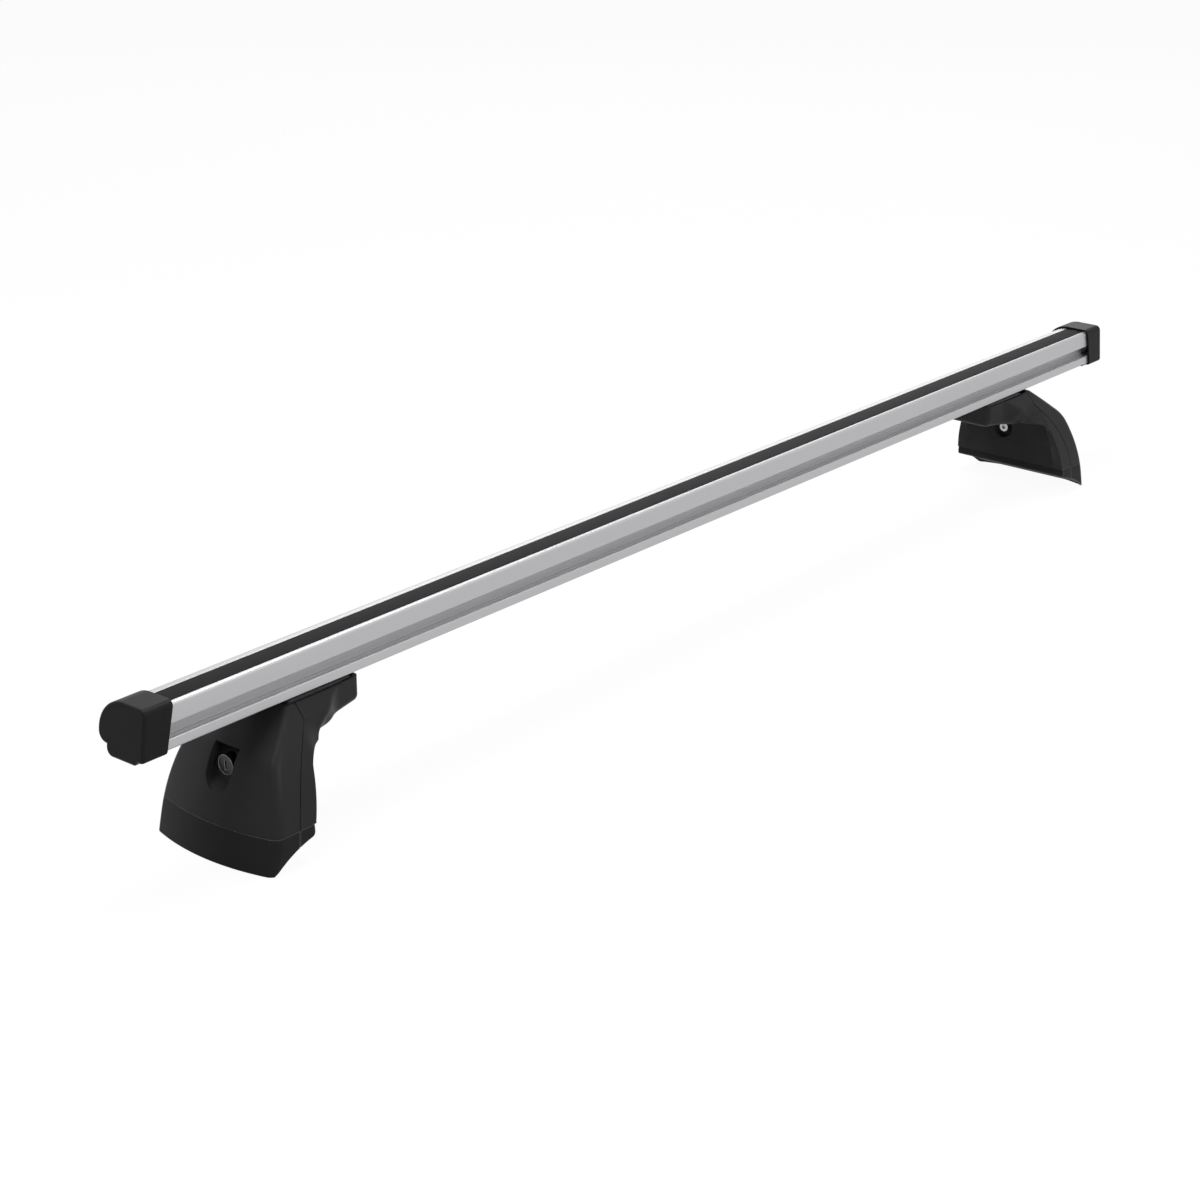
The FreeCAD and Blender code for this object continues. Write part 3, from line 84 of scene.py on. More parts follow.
# The light tone that metal edges are blended towards: a painted highlight.
METAL_EDGE_HIGHLIGHT = (0.86, 0.86, 0.87, 1.0)
DIE_LINE_SCALE = 2600.0
DIE_LINE_STRETCH = (0.004, 1.0, 1.0)
DIE_LINE_SHADES = (0.94, 1.04)
DIE_LINE_HEIGHT = 0.00005
DIE_LINE_DEPTH = 0.03
HAZE_SCALE = 9.0
HAZE_SHARE = 0.03
# The turn of the surface at which the painted edge highlight is full.
FULL_HIGHLIGHT_TURN = 0.75
BEVEL_SAMPLES = 6


def rounded_loop(corners):
    """Points of a closed outline: each corner (y, z, radius) is turned into an arc."""
    points = []
    for place, (across, up, radius) in enumerate(corners):
        corner = Vector((across, up))
        before = Vector(corners[place - 1][:2]) - corner
        after = Vector(corners[(place + 1) % len(corners)][:2]) - corner
        turn = math.pi - before.angle(after)
        if radius <= 0.0 or turn < STRAIGHT_TURN:
            points.append(corner)
            continue
        back = radius * math.tan(turn / 2.0)
        start = corner + before.normalized() * back
        bisector = (before.normalized() + after.normalized()).normalized()
        centre = corner + bisector * (radius / math.cos(turn / 2.0))
        spoke = start - centre
        clockwise = before.x * after.y - before.y * after.x > 0.0
        steps = max(2, math.ceil(turn / ARC_STEP))
        for step in range(steps + 1):
            angle = turn * step / steps * (-1.0 if clockwise else 1.0)
            turned = Vector((
                spoke.x * math.cos(angle) - spoke.y * math.sin(angle),
                spoke.x * math.sin(angle) + spoke.y * math.cos(angle),
            ))
            points.append(centre + turned)
    return points


def bar_loops():
    """The bar's outline and its two closed chambers, as rounded loops in the section."""
    front, back = bar_low.y, bar_high.y
    top, belly = bar_high.z, bar_low.z
    heel = belly + BELLY_DROP
    tail = heel + TAIL_RISE
    slot_front = front + TOP_SLOT_SETBACK
    slot_back = slot_front + TOP_SLOT_WIDTH
    slot_under = top - TOP_SLOT_LIP
    slot_floor = top - TOP_SLOT_DEPTH
    under_front = slot_front - TOP_SLOT_UNDERCUT
    under_back = slot_back + TOP_SLOT_UNDERCUT
    channel, mouth = CHANNEL_HALF, CHANNEL_MOUTH_HALF
    channel_lip = belly + CHANNEL_LIP
    channel_top = channel_lip + CHANNEL_HEIGHT
    belly_back = channel + BAR_WALL
    side_low = heel + SIDE_SLOT_RISE
    side_high = side_low + SIDE_SLOT_MOUTH
    side_lip = front + SIDE_SLOT_LIP
    side_floor = front + SIDE_SLOT_DEPTH
    side_bottom = side_low - SIDE_SLOT_UNDERCUT
    side_top = side_high + SIDE_SLOT_UNDERCUT
    step_top = side_bottom + SIDE_STEP_RISE
    step_front = side_floor - SIDE_STEP_DEPTH
    edge, inner = SAWN_EDGE, INNER_EDGE
    outline = [
        (front, heel, FRONT_LOW_RADIUS), (front + SLOPE_START, heel, edge),
        (front + SLOPE_END, belly, edge), (-mouth, belly, edge), (-mouth, channel_lip, edge),
        (-channel, channel_lip, inner), (-channel, channel_top, inner),
        (channel, channel_top, inner), (channel, channel_lip, inner),
        (mouth, channel_lip, edge), (mouth, belly, edge),
        (belly_back, belly, BELLY_RADIUS), (belly_back, tail, inner), (back, tail, TAIL_RADIUS),
        (back, top, NOSE_RADIUS), (slot_back, top, edge), (slot_back, slot_under, edge),
        (under_back, slot_under, inner), (under_back, slot_floor, inner),
        (under_front, slot_floor, inner), (under_front, slot_under, inner),
        (slot_front, slot_under, edge), (slot_front, top, edge), (front, top, FRONT_TOP_RADIUS),
        (front, side_high, edge), (side_lip, side_high, edge), (side_lip, side_top, inner),
        (side_floor, side_top, inner), (side_floor, step_top, inner),
        (step_front, step_top, edge), (step_front, side_bottom, inner),
        (side_lip, side_bottom, inner), (side_lip, side_low, edge),
        (front, side_low, SIDE_SLOT_LIP_EDGE),
    ]
    wall = BAR_WALL
    low = channel_top + wall
    web = slot_back + wall
    under_slot = [
        (side_floor + wall, low, inner), (web - wall, low, inner),
        (web - wall, slot_floor - wall, inner), (side_floor + wall, slot_floor - wall, inner),
    ]
    in_nose = [
        (web, low, inner), (back - wall, low, TAIL_RADIUS - wall * 2.0),
        (back - wall, top - wall * 2.0, NOSE_RADIUS - wall * 3.0), (web, top - wall * 2.0, inner),
    ]
    return [rounded_loop(corners) for corners in (outline, under_slot, in_nose)]


def extruded(loops, start, end):
    """A closed extrusion along X from an outer loop and the loops of its chambers."""
    solid = bmesh.new()
    rims = {start: [], end: []}
    for loop in loops:
        rings = {x: [solid.verts.new((x, p.x, p.y)) for p in loop] for x in (start, end)}
        for x, ring in rings.items():
            for here, there in zip(ring, ring[1:] + ring[:1]):
                rims[x].append(solid.edges.new((here, there)))
        pairs = list(zip(rings[start], rings[end]))
        for (a, b), (c, d) in zip(pairs, pairs[1:] + pairs[:1]):
            solid.faces.new((a, b, d, c))
    for edges in rims.values():
        bmesh.ops.triangle_fill(solid, use_beauty=True, use_dissolve=False, edges=edges)
    bmesh.ops.recalc_face_normals(solid, faces=solid.faces)
    return solid


def mesh_piece(name, mesh_data, material, sharp_angle=SHARP_ANGLE):
    """A finished mesh as a piece: faces shaded smooth up to one angle, with its material."""
    mesh = bpy.data.meshes.new(name)
    mesh_data.to_mesh(mesh)
    mesh_data.free()
    for face in mesh.polygons:
        face.use_smooth = True
    mesh.set_sharp_from_angle(angle=sharp_angle)
    mesh.materials.append(material)
    piece = bpy.data.objects.new(name, mesh)
    bpy.context.scene.collection.objects.link(piece)
    return piece


def shader_group(name, inputs, outputs):
    """A shader node group with its sockets: the group, what it is given and what it makes."""
    group = bpy.data.node_groups.new(name, "ShaderNodeTree")
    for label, value in inputs.items():
        kind = "NodeSocketColor" if isinstance(value, tuple) else "NodeSocketFloat"
        socket = group.interface.new_socket(label, in_out="INPUT", socket_type=kind)
        socket.default_value = value
    for label, kind in outputs.items():
        group.interface.new_socket(label, in_out="OUTPUT", socket_type="NodeSocket" + kind)
    given = group.nodes.new("NodeGroupInput")
    made = group.nodes.new("NodeGroupOutput")
    return group, given, made


def die_line_group():
    """Fine lines that an extrusion die leaves along the bar, as a tone, a gloss and a normal."""
    group, given, made = shader_group(
        "die_lines",
        {"Tone": ALUMINIUM, "Scale": DIE_LINE_SCALE, "Base Roughness": 0.40,
         "Depth": DIE_LINE_DEPTH, "Edge": SAWN_EDGE},
        {"Color": "Color", "Roughness": "Float", "Normal": "Vector"})
    nodes, links = group.nodes, group.links
    place = nodes.new("ShaderNodeTexCoord")
    stretch = nodes.new("ShaderNodeMapping")
    stretch.inputs["Scale"].default_value = DIE_LINE_STRETCH
    lines = nodes.new("ShaderNodeTexNoise")
    lines.inputs["Detail"].default_value = 3.0
    haze = nodes.new("ShaderNodeTexNoise")
    haze.inputs["Scale"].default_value = HAZE_SCALE
    tone = nodes.new("ShaderNodeMix")
    tone.data_type = "RGBA"
    tone.blend_type = "MULTIPLY"
    tone.inputs["Factor"].default_value = 1.0
    shade = nodes.new("ShaderNodeMapRange")
    shade.inputs["To Min"].default_value = DIE_LINE_SHADES[0]
    shade.inputs["To Max"].default_value = DIE_LINE_SHADES[1]
    haze_range = nodes.new("ShaderNodeMapRange")
    haze_range.inputs["To Min"].default_value = -HAZE_SHARE
    haze_range.inputs["To Max"].default_value = HAZE_SHARE
    roughness = nodes.new("ShaderNodeMath")
    edge = nodes.new("ShaderNodeBevel")
    edge.samples = BEVEL_SAMPLES
    bump = nodes.new("ShaderNodeBump")
    bump.inputs["Distance"].default_value = DIE_LINE_HEIGHT
    links.new(place.outputs["Object"], stretch.inputs["Vector"])
    links.new(stretch.outputs["Vector"], lines.inputs["Vector"])
    links.new(given.outputs["Scale"], lines.inputs["Scale"])
    links.new(place.outputs["Object"], haze.inputs["Vector"])
    links.new(lines.outputs["Fac"], shade.inputs["Value"])
    links.new(haze.outputs["Fac"], haze_range.inputs["Value"])
    links.new(given.outputs["Base Roughness"], roughness.inputs[0])
    links.new(haze_range.outputs["Result"], roughness.inputs[1])
    links.new(given.outputs["Tone"], tone.inputs["A"])
    links.new(shade.outputs["Result"], tone.inputs["B"])
    links.new(lines.outputs["Fac"], bump.inputs["Height"])
    links.new(given.outputs["Depth"], bump.inputs["Strength"])
    links.new(given.outputs["Edge"], edge.inputs["Radius"])
    links.new(edge.outputs["Normal"], bump.inputs["Normal"])
    links.new(tone.outputs["Result"], made.inputs["Color"])
    links.new(roughness.outputs["Value"], made.inputs["Roughness"])
    links.new(bump.outputs["Normal"], made.inputs["Normal"])
    return group


def painted_edge_highlight_group():
    """Where an edge gets a painted highlight: a mask that is strongest on the edge itself."""
    group, given, made = shader_group(
        "painted_edge_highlight", {"Width": SAWN_EDGE, "Share": 0.5}, {"Mask": "Float"})
    nodes, links = group.nodes, group.links
    rounded = nodes.new("ShaderNodeBevel")
    rounded.samples = BEVEL_SAMPLES
    surface = nodes.new("ShaderNodeNewGeometry")
    agreement = nodes.new("ShaderNodeVectorMath")
    agreement.operation = "DOT_PRODUCT"
    turned = nodes.new("ShaderNodeMapRange")
    turned.inputs["From Min"].default_value = 1.0
    turned.inputs["From Max"].default_value = FULL_HIGHLIGHT_TURN
    share = nodes.new("ShaderNodeMath")
    share.operation = "MULTIPLY"
    links.new(given.outputs["Width"], rounded.inputs["Radius"])
    links.new(rounded.outputs["Normal"], agreement.inputs[0])
    links.new(surface.outputs["Normal"], agreement.inputs[1])
    links.new(agreement.outputs["Value"], turned.inputs["Value"])
    links.new(turned.outputs["Result"], share.inputs[0])
    links.new(given.outputs["Share"], share.inputs[1])
    links.new(share.outputs["Value"], made.inputs["Mask"])
    return group


die_lines = die_line_group()
painted_edge_highlight = painted_edge_highlight_group()


def node_material(name):
    """A new node material, with its tree and its shader."""
    material = bpy.data.materials.new(name)
    material.use_nodes = True
    tree = material.node_tree
    return material, tree, tree.nodes["Principled BSDF"]


def finished(name, surface, values, highlight_width, highlight_share, highlight_tone):
    """A material with one surface group's values, and edges painted towards a lighter tone as a
    highlight.
    """
    material, tree, shader = node_material(name)
    finish = tree.nodes.new("ShaderNodeGroup")
    finish.node_tree = surface
    for label, value in values.items():
        finish.inputs[label].default_value = value
    highlight_node = tree.nodes.new("ShaderNodeGroup")
    highlight_node.node_tree = painted_edge_highlight
    highlight_node.inputs["Width"].default_value = highlight_width
    highlight_node.inputs["Share"].default_value = highlight_share
    blend = tree.nodes.new("ShaderNodeMix")
    blend.data_type = "RGBA"
    blend.inputs["B"].default_value = highlight_tone
    tree.links.new(highlight_node.outputs["Mask"], blend.inputs["Factor"])
    tree.links.new(finish.outputs["Color"], blend.inputs["A"])
    tree.links.new(blend.outputs["Result"], shader.inputs["Base Color"])
    tree.links.new(finish.outputs["Roughness"], shader.inputs["Roughness"])
    tree.links.new(finish.outputs["Normal"], shader.inputs["Normal"])
    return material, shader


def drawn_metal(name, tone, roughness, edge, highlight_share, line_depth=DIE_LINE_DEPTH, metallic=1.0):
    """A metal with the fine lines of its drawing or turning, and a painted highlight on its
    edges.
    """
    values = {"Tone": tone, "Base Roughness": roughness, "Edge": edge, "Depth": line_depth}
    material, shader = finished(name, die_lines, values, edge, highlight_share, METAL_EDGE_HIGHLIGHT)
    shader.inputs["Metallic"].default_value = metallic
    return material


def paint_light_into_slot(piece, material):
    """Paint light into the side slot: a lighter, rougher, less metallic copy of the aluminium."""
    piece.data.materials.append(material)
    low = bar_low.z + BELLY_DROP + SIDE_SLOT_RISE - SIDE_SLOT_UNDERCUT
    high = low + SIDE_SLOT_MOUTH + 2.0 * SIDE_SLOT_UNDERCUT
    for face in piece.data.polygons:
        into = face.center.y - bar_low.y
        along_bar = abs(face.normal.x) < 0.5
        inside = low - SAWN_EDGE < face.center.z < high + SAWN_EDGE
        if along_bar and inside and SAWN_EDGE < into < SIDE_SLOT_DEPTH + SAWN_EDGE:
            face.material_index = 1


anodised = drawn_metal(
    "anodised_aluminium", ALUMINIUM, roughness=0.40, edge=SAWN_EDGE, highlight_share=0.5)
# The side slot's inside is a lighter copy of the aluminium: painted light in the recess.
slot_painted_light = drawn_metal(
    "slot_painted_light_aluminium", SLOT_PAINTED_LIGHT_ALUMINIUM, roughness=0.60, edge=SAWN_EDGE / 4.0, highlight_share=0.0,
    line_depth=0.0, metallic=0.4)
bar = mesh_piece("bar", extruded(bar_loops(), bar_low.x, bar_high.x), anodised)
paint_light_into_slot(bar, slot_painted_light)
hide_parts("bar_extrusion")
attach(bar, "bar")

# The strip: a black rubber moulding pressed into the bar's top slot, so that loads don't slide
# on the metal. Its face is slightly crowned, its flange sits under the slot's lips, and two
# legs stand on the slot's floor.
strip_low, strip_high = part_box("slot_strip")
STRIP_PLAY = 0.0002
STRIP_CROWN = 0.0005
STRIP_EDGE = 0.0009
CROWN_POINTS = 9
FLANGE_REACH = 0.0015
FLANGE_THICKNESS = 0.0020
LEG_SETBACK = 0.0018
LEG_THICKNESS = 0.0020
RUBBER = (0.0065, 0.0065, 0.0068, 1.0)
# The light tone that moulded edges are blended towards: a painted highlight.
MOULDING_EDGE_HIGHLIGHT = (0.22, 0.22, 0.225, 1.0)
MOULDED_EDGE = 0.0006
GRAIN_HEIGHT = 0.0001
PATCH_SCALE = 28.0
PATCH_SHARE = 0.05
PATCH_TONE = 4.0


def strip_loop():
    """The strip's section: crowned face, flange and two legs."""
    front = bar_low.y + TOP_SLOT_SETBACK + STRIP_PLAY
    back = front + TOP_SLOT_WIDTH - 2.0 * STRIP_PLAY
    face_low = strip_high.z - STRIP_CROWN
    under_lip = bar_high.z - TOP_SLOT_LIP - STRIP_PLAY
    flange_low = under_lip - FLANGE_THICKNESS
    flange_front, flange_back = front - FLANGE_REACH, back + FLANGE_REACH
    leg_front, leg_back = front + LEG_SETBACK, back - LEG_SETBACK
    foot = strip_low.z
    middle, half = (front + back) / 2.0, (back - front) / 2.0
    crown = []
    for number in range(1, CROWN_POINTS + 1):
        share = 1.0 - 2.0 * number / (CROWN_POINTS + 1)
        crown.append((middle + half * share, face_low + STRIP_CROWN * (1.0 - share * share), 0.0))
    below = [
        (front, under_lip), (flange_front, under_lip), (flange_front, flange_low),
        (leg_front, flange_low), (leg_front, foot), (leg_front + LEG_THICKNESS, foot),
        (leg_front + LEG_THICKNESS, flange_low), (leg_back - LEG_THICKNESS, flange_low),
        (leg_back - LEG_THICKNESS, foot), (leg_back, foot), (leg_back, flange_low),
        (flange_back, flange_low), (flange_back, under_lip), (back, under_lip),
    ]
    return rounded_loop([
        *((across, up, INNER_EDGE) for across, up in below),
        (back, face_low, STRIP_EDGE), *crown, (front, face_low, STRIP_EDGE),
    ])


def moulded_grain_group():
    """The fine grain of a mould's walls, as a tone, a gloss and a normal."""
    group, given, made = shader_group(
        "moulded_grain",
        {"Tone": RUBBER, "Scale": 1800.0, "Base Roughness": 0.5, "Depth": 0.2,
         "Patches": PATCH_SHARE, "Edge": MOULDED_EDGE},
        {"Color": "Color", "Roughness": "Float", "Normal": "Vector"})
    nodes, links = group.nodes, group.links
    place = nodes.new("ShaderNodeTexCoord")
    grain = nodes.new("ShaderNodeTexNoise")
    grain.inputs["Detail"].default_value = 4.0
    patches = nodes.new("ShaderNodeTexNoise")
    patches.inputs["Scale"].default_value = PATCH_SCALE
    patches.inputs["Detail"].default_value = 3.0
    centred = nodes.new("ShaderNodeMath")
    centred.operation = "SUBTRACT"
    centred.inputs[1].default_value = 0.5
    share = nodes.new("ShaderNodeMath")
    share.operation = "MULTIPLY"
    roughness = nodes.new("ShaderNodeMath")
    factor = nodes.new("ShaderNodeMath")
    factor.operation = "MULTIPLY_ADD"
    factor.inputs[1].default_value = PATCH_TONE
    factor.inputs[2].default_value = 1.0
    tone = nodes.new("ShaderNodeVectorMath")
    tone.operation = "SCALE"
    edge = nodes.new("ShaderNodeBevel")
    edge.samples = BEVEL_SAMPLES
    bump = nodes.new("ShaderNodeBump")
    bump.inputs["Distance"].default_value = GRAIN_HEIGHT
    links.new(place.outputs["Object"], grain.inputs["Vector"])
    links.new(given.outputs["Scale"], grain.inputs["Scale"])
    links.new(place.outputs["Object"], patches.inputs["Vector"])
    links.new(patches.outputs["Fac"], centred.inputs[0])
    links.new(centred.outputs["Value"], share.inputs[0])
    links.new(given.outputs["Patches"], share.inputs[1])
    links.new(given.outputs["Base Roughness"], roughness.inputs[0])
    links.new(share.outputs["Value"], roughness.inputs[1])
    links.new(share.outputs["Value"], factor.inputs[0])
    links.new(given.outputs["Tone"], tone.inputs[0])
    links.new(factor.outputs["Value"], tone.inputs["Scale"])
    links.new(grain.outputs["Fac"], bump.inputs["Height"])
    links.new(given.outputs["Depth"], bump.inputs["Strength"])
    links.new(given.outputs["Edge"], edge.inputs["Radius"])
    links.new(edge.outputs["Normal"], bump.inputs["Normal"])
    links.new(tone.outputs["Vector"], made.inputs["Color"])
    links.new(roughness.outputs["Value"], made.inputs["Roughness"])
    links.new(bump.outputs["Normal"], made.inputs["Normal"])
    return group


moulded_grain = moulded_grain_group()


def moulded(name, tone, roughness, scale, depth, specular, highlight_share, highlight_width=SAWN_EDGE):
    """A moulded black plastic or rubber with its own grain, and a painted highlight on its edges.
    """
    values = {"Tone": tone, "Base Roughness": roughness, "Scale": scale, "Depth": depth}
    material, shader = finished(name, moulded_grain, values, highlight_width, highlight_share, MOULDING_EDGE_HIGHLIGHT)
    shader.inputs["Specular IOR Level"].default_value = specular
    return material


strip_rubber = moulded(
    "strip_rubber", RUBBER, roughness=0.55, scale=1500.0, depth=0.35, specular=0.04, highlight_share=0.0)
strip = mesh_piece("strip", extruded([strip_loop()], strip_low.x, strip_high.x), strip_rubber)
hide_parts("slot_strip")
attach(strip, "bar")

# The end caps: moulded black plastic cups pushed over the bar's ends. Their end walls lean
# out, their rims are cut at a slant, and tongues inside hold them in the bar's chambers.
CAP_PLASTIC = (0.0100, 0.0100, 0.0104, 1.0)
cap_plastic = moulded(
    "cap_plastic", CAP_PLASTIC, roughness=0.38, scale=2200.0, depth=0.18, specular=0.06,
    highlight_share=0.25)


def dress(nodes, material):
    """Give the surfaces of both sides' CAD nodes their material."""
    for side in ("left", "right"):
        for node in nodes:
            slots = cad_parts[side + "_" + node].data.materials
            slots.clear()
            slots.append(material)


dress(["end_cap"], cap_plastic)

# The pads: black rubber, one moulded to the roof's curve under each foot's base plate, and a
# thin sheet between each foot's platform and the bar.
pad_rubber = moulded(
    "pad_rubber", RUBBER, roughness=0.60, scale=1200.0, depth=0.40, specular=0.20, highlight_share=0.0)
dress(["base_pad", "saddle_pad"], pad_rubber)

# The cores: one aluminium casting in each foot, with a base plate for the roof's bolts, two
# ribs, a web and the platform that the bar stands on. The covers hide it.
CAST_ALUMINIUM = (0.42, 0.42, 0.43, 1.0)
CAST_EDGE = 0.0008
cast_aluminium = drawn_metal(
    "cast_aluminium", CAST_ALUMINIUM, roughness=0.55, edge=CAST_EDGE, highlight_share=0.2)
dress(["foot_core"], cast_aluminium)

# The clamps: a nut in the bar's channel and a washer under each platform, both of zinc-plated
# steel. A long screw from below draws the nut down on the channel's lips.
PLATED_STEEL = (0.42, 0.42, 0.44, 1.0)
STEEL_EDGE = 0.00015
plated_steel = drawn_metal(
    "plated_steel", PLATED_STEEL, roughness=0.34, edge=STEEL_EDGE, highlight_share=0.4)
dress(["clamp_washer", "clamp_nut"], plated_steel)

# The screws: a long clamp screw under each foot's platform, and a short one that holds each
# inner cover. They are zinc-plated steel with a knurled socket head and a rolled thread.
SCREW_SIDES = 40
HEX_SIDES = 6
HEAD_RIDGES = 40
RIDGE_SHARE = 0.8
THREAD_DEPTH = 0.4
CREST_SHARE = 0.5
SCREW_SIZES = {
    "Head Radius": 0.0065, "Head Height": 0.0080, "Shank Radius": 0.0040, "Shank Length": 0.0200,
    "Socket Radius": 0.00346, "Socket Depth": 0.0045, "Ridge": 0.0002, "Pitch": 0.0010,
}
COVER_SCREW_SIZES = {
    "Head Height": 0.0040, "Shank Radius": 0.0025, "Socket Radius": 0.0023,
    "Socket Depth": 0.0024, "Pitch": 0.0008,
}


def socket_screw_tree():
    """One socket-head screw: its head stands on z = 0 and its threaded shank points down."""
    tree = bpy.data.node_groups.new("socket_screw", "GeometryNodeTree")
    face = tree.interface
    for label, value in SCREW_SIZES.items():
        size_input = face.new_socket(label, in_out="INPUT", socket_type="NodeSocketFloat")
        size_input.default_value = value
    ridges = face.new_socket("Ridges", in_out="INPUT", socket_type="NodeSocketInt")
    ridges.default_value = HEAD_RIDGES
    face.new_socket("Finish", in_out="INPUT", socket_type="NodeSocketMaterial")
    face.new_socket("Geometry", in_out="OUTPUT", socket_type="NodeSocketGeometry")
    nodes, links = tree.nodes, tree.links
    given = nodes.new("NodeGroupInput").outputs

    def joined(socket, value):
        if isinstance(value, (int, float)):
            socket.default_value = value
        else:
            links.new(value, socket)

    def worked_out(operation, first, second=0.0):
        step = nodes.new("ShaderNodeMath")
        step.operation = operation
        joined(step.inputs[0], first)
        joined(step.inputs[1], second)
        return step.outputs["Value"]

    def upright(height):
        point = nodes.new("ShaderNodeCombineXYZ")
        joined(point.inputs["Z"], height)
        return point.outputs["Vector"]

    def cylinder(sides, radius, depth, middle):
        turned = nodes.new("GeometryNodeMeshCylinder")
        turned.inputs["Vertices"].default_value = sides
        joined(turned.inputs["Radius"], radius)
        joined(turned.inputs["Depth"], depth)
        moved = nodes.new("GeometryNodeTransform")
        links.new(turned.outputs["Mesh"], moved.inputs["Geometry"])
        links.new(upright(middle), moved.inputs["Translation"])
        return moved.outputs["Geometry"]

    def copied(points, piece):
        copies = nodes.new("GeometryNodeInstanceOnPoints")
        links.new(points, copies.inputs["Points"])
        links.new(piece, copies.inputs["Instance"])
        return copies.outputs["Instances"]

    rim = worked_out("SUBTRACT", given["Head Radius"], given["Ridge"])
    half_head = worked_out("MULTIPLY", given["Head Height"], 0.5)
    head = cylinder(SCREW_SIDES, rim, given["Head Height"], half_head)
    both_ways = worked_out("MULTIPLY", given["Socket Depth"], 2.0)
    socket = cylinder(HEX_SIDES, given["Socket Radius"], both_ways, given["Head Height"])
    bored = nodes.new("GeometryNodeMeshBoolean")
    bored.operation = "DIFFERENCE"
    links.new(head, bored.inputs["Mesh 1"])
    links.new(socket, bored.inputs["Mesh 2"])

    circle = nodes.new("GeometryNodeMeshCircle")
    links.new(given["Ridges"], circle.inputs["Vertices"])
    links.new(rim, circle.inputs["Radius"])
    ridge_height = worked_out("MULTIPLY", given["Head Height"], RIDGE_SHARE)
    ridge = cylinder(HEX_SIDES, given["Ridge"], ridge_height, half_head)
    knurling = copied(circle.outputs["Mesh"], ridge)

    thread_depth = worked_out("MULTIPLY", given["Pitch"], THREAD_DEPTH)
    root = worked_out("SUBTRACT", given["Shank Radius"], thread_depth)
    shank_middle = worked_out("MULTIPLY", given["Shank Length"], -0.5)
    shank = cylinder(SCREW_SIDES, root, given["Shank Length"], shank_middle)
    turns = nodes.new("GeometryNodeMeshLine")
    turn_count = worked_out("FLOOR", worked_out("DIVIDE", given["Shank Length"], given["Pitch"]))
    links.new(turn_count, turns.inputs["Count"])
    first_turn = upright(worked_out("MULTIPLY", given["Pitch"], -0.5))
    links.new(first_turn, turns.inputs["Start Location"])
    links.new(upright(worked_out("MULTIPLY", given["Pitch"], -1.0)), turns.inputs["Offset"])
    crest_width = worked_out("MULTIPLY", given["Pitch"], CREST_SHARE)
    crest = cylinder(SCREW_SIDES, given["Shank Radius"], crest_width, 0.0)
    thread = copied(turns.outputs["Mesh"], crest)

    whole = nodes.new("GeometryNodeJoinGeometry")
    for piece in (bored.outputs["Mesh"], knurling, shank, thread):
        links.new(piece, whole.inputs["Geometry"])
    real = nodes.new("GeometryNodeRealizeInstances")
    finish = nodes.new("GeometryNodeSetMaterial")
    made = nodes.new("NodeGroupOutput")
    links.new(whole.outputs["Geometry"], real.inputs["Geometry"])
    links.new(real.outputs["Geometry"], finish.inputs["Geometry"])
    links.new(given["Finish"], finish.inputs["Material"])
    links.new(finish.outputs["Geometry"], made.inputs["Geometry"])
    return tree


screw_tree = socket_screw_tree()


def socket_screw(name, seat, shank_way, sizes):
    """One screw, its head's seat at a place and its shank pointing one way."""
    blank = bpy.data.objects.new(name + "_blank", bpy.data.meshes.new(name + "_blank"))
    bpy.context.scene.collection.objects.link(blank)
    modifier = blank.modifiers.new("socket_screw", "NODES")
    modifier.node_group = screw_tree
    for item in screw_tree.interface.items_tree:
        if item.name in sizes:
            modifier[item.identifier] = sizes[item.name]
        if item.name == "Finish":
            modifier[item.identifier] = plated_steel
    bpy.context.view_layer.update()
    solved = blank.evaluated_get(bpy.context.evaluated_depsgraph_get())
    mesh = bpy.data.meshes.new_from_object(solved)
    bpy.data.objects.remove(blank)
    turn = Vector((0.0, 0.0, -1.0)).rotation_difference(shank_way)
    mesh.transform(Matrix.LocRotScale(seat, turn, None))
    solid = bmesh.new()
    solid.from_mesh(mesh)
    return mesh_piece(name, solid, plated_steel)


for side, outboard in (("left", -1.0), ("right", 1.0)):
    low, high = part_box(side + "_clamp_screw")
    middle = (low + high) / 2.0
    seat = Vector((middle.x, middle.y, low.z + SCREW_SIZES["Head Height"]))
    clamp = socket_screw(side + "_hex_clamp_screw", seat, Vector((0.0, 0.0, 1.0)),
                         {"Shank Length": high.z - seat.z})
    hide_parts(side + "_clamp_screw")
    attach(clamp, side + "_clamp_screw")
    low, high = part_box(side + "_cover_screw")
    middle = (low + high) / 2.0
    head = COVER_SCREW_SIZES["Head Height"]
    inboard = low.x if outboard > 0.0 else high.x
    seat = Vector((inboard + outboard * head, middle.y, middle.z))
    holder = socket_screw(side + "_hex_cover_screw", seat, Vector((outboard, 0.0, 0.0)), {
        **COVER_SCREW_SIZES,
        "Head Radius": (high.z - low.z) / 2.0, "Shank Length": high.x - low.x - head,
    })
    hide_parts(side + "_cover_screw")
    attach(holder, side + "_foot")

# The inner covers: black mouldings on each foot's inboard side, with a recessed wall and the arm
# that runs under the bar. Where the hood flares into the arm, the solid's lower corners are
# drawn in towards the arm, so that it is one soft curve.
COVER_PLASTIC = (0.0165, 0.0165, 0.0172, 1.0)
ARM_HALF_WIDTH = 0.0260
FLARE_MIDDLE = 0.5170
FLARE_REACH = 0.0240
FLARE_HEIGHT = 0.0800
FLARE_RISE = 0.0250
FLARE_BLEND = 0.0130
FLARE_DRAW = 0.0085
FLARE_FACET = 0.0040
FLARE_PASSES = 4
FLARE_SHARP_ANGLE = math.radians(30)
EDGE_SAMPLES = 8
MERGE_DISTANCE = 1e-6
cover_plastic = moulded(
    "cover_plastic", COVER_PLASTIC, roughness=0.42, scale=2200.0, depth=0.18, specular=0.08,
    highlight_share=0.10)


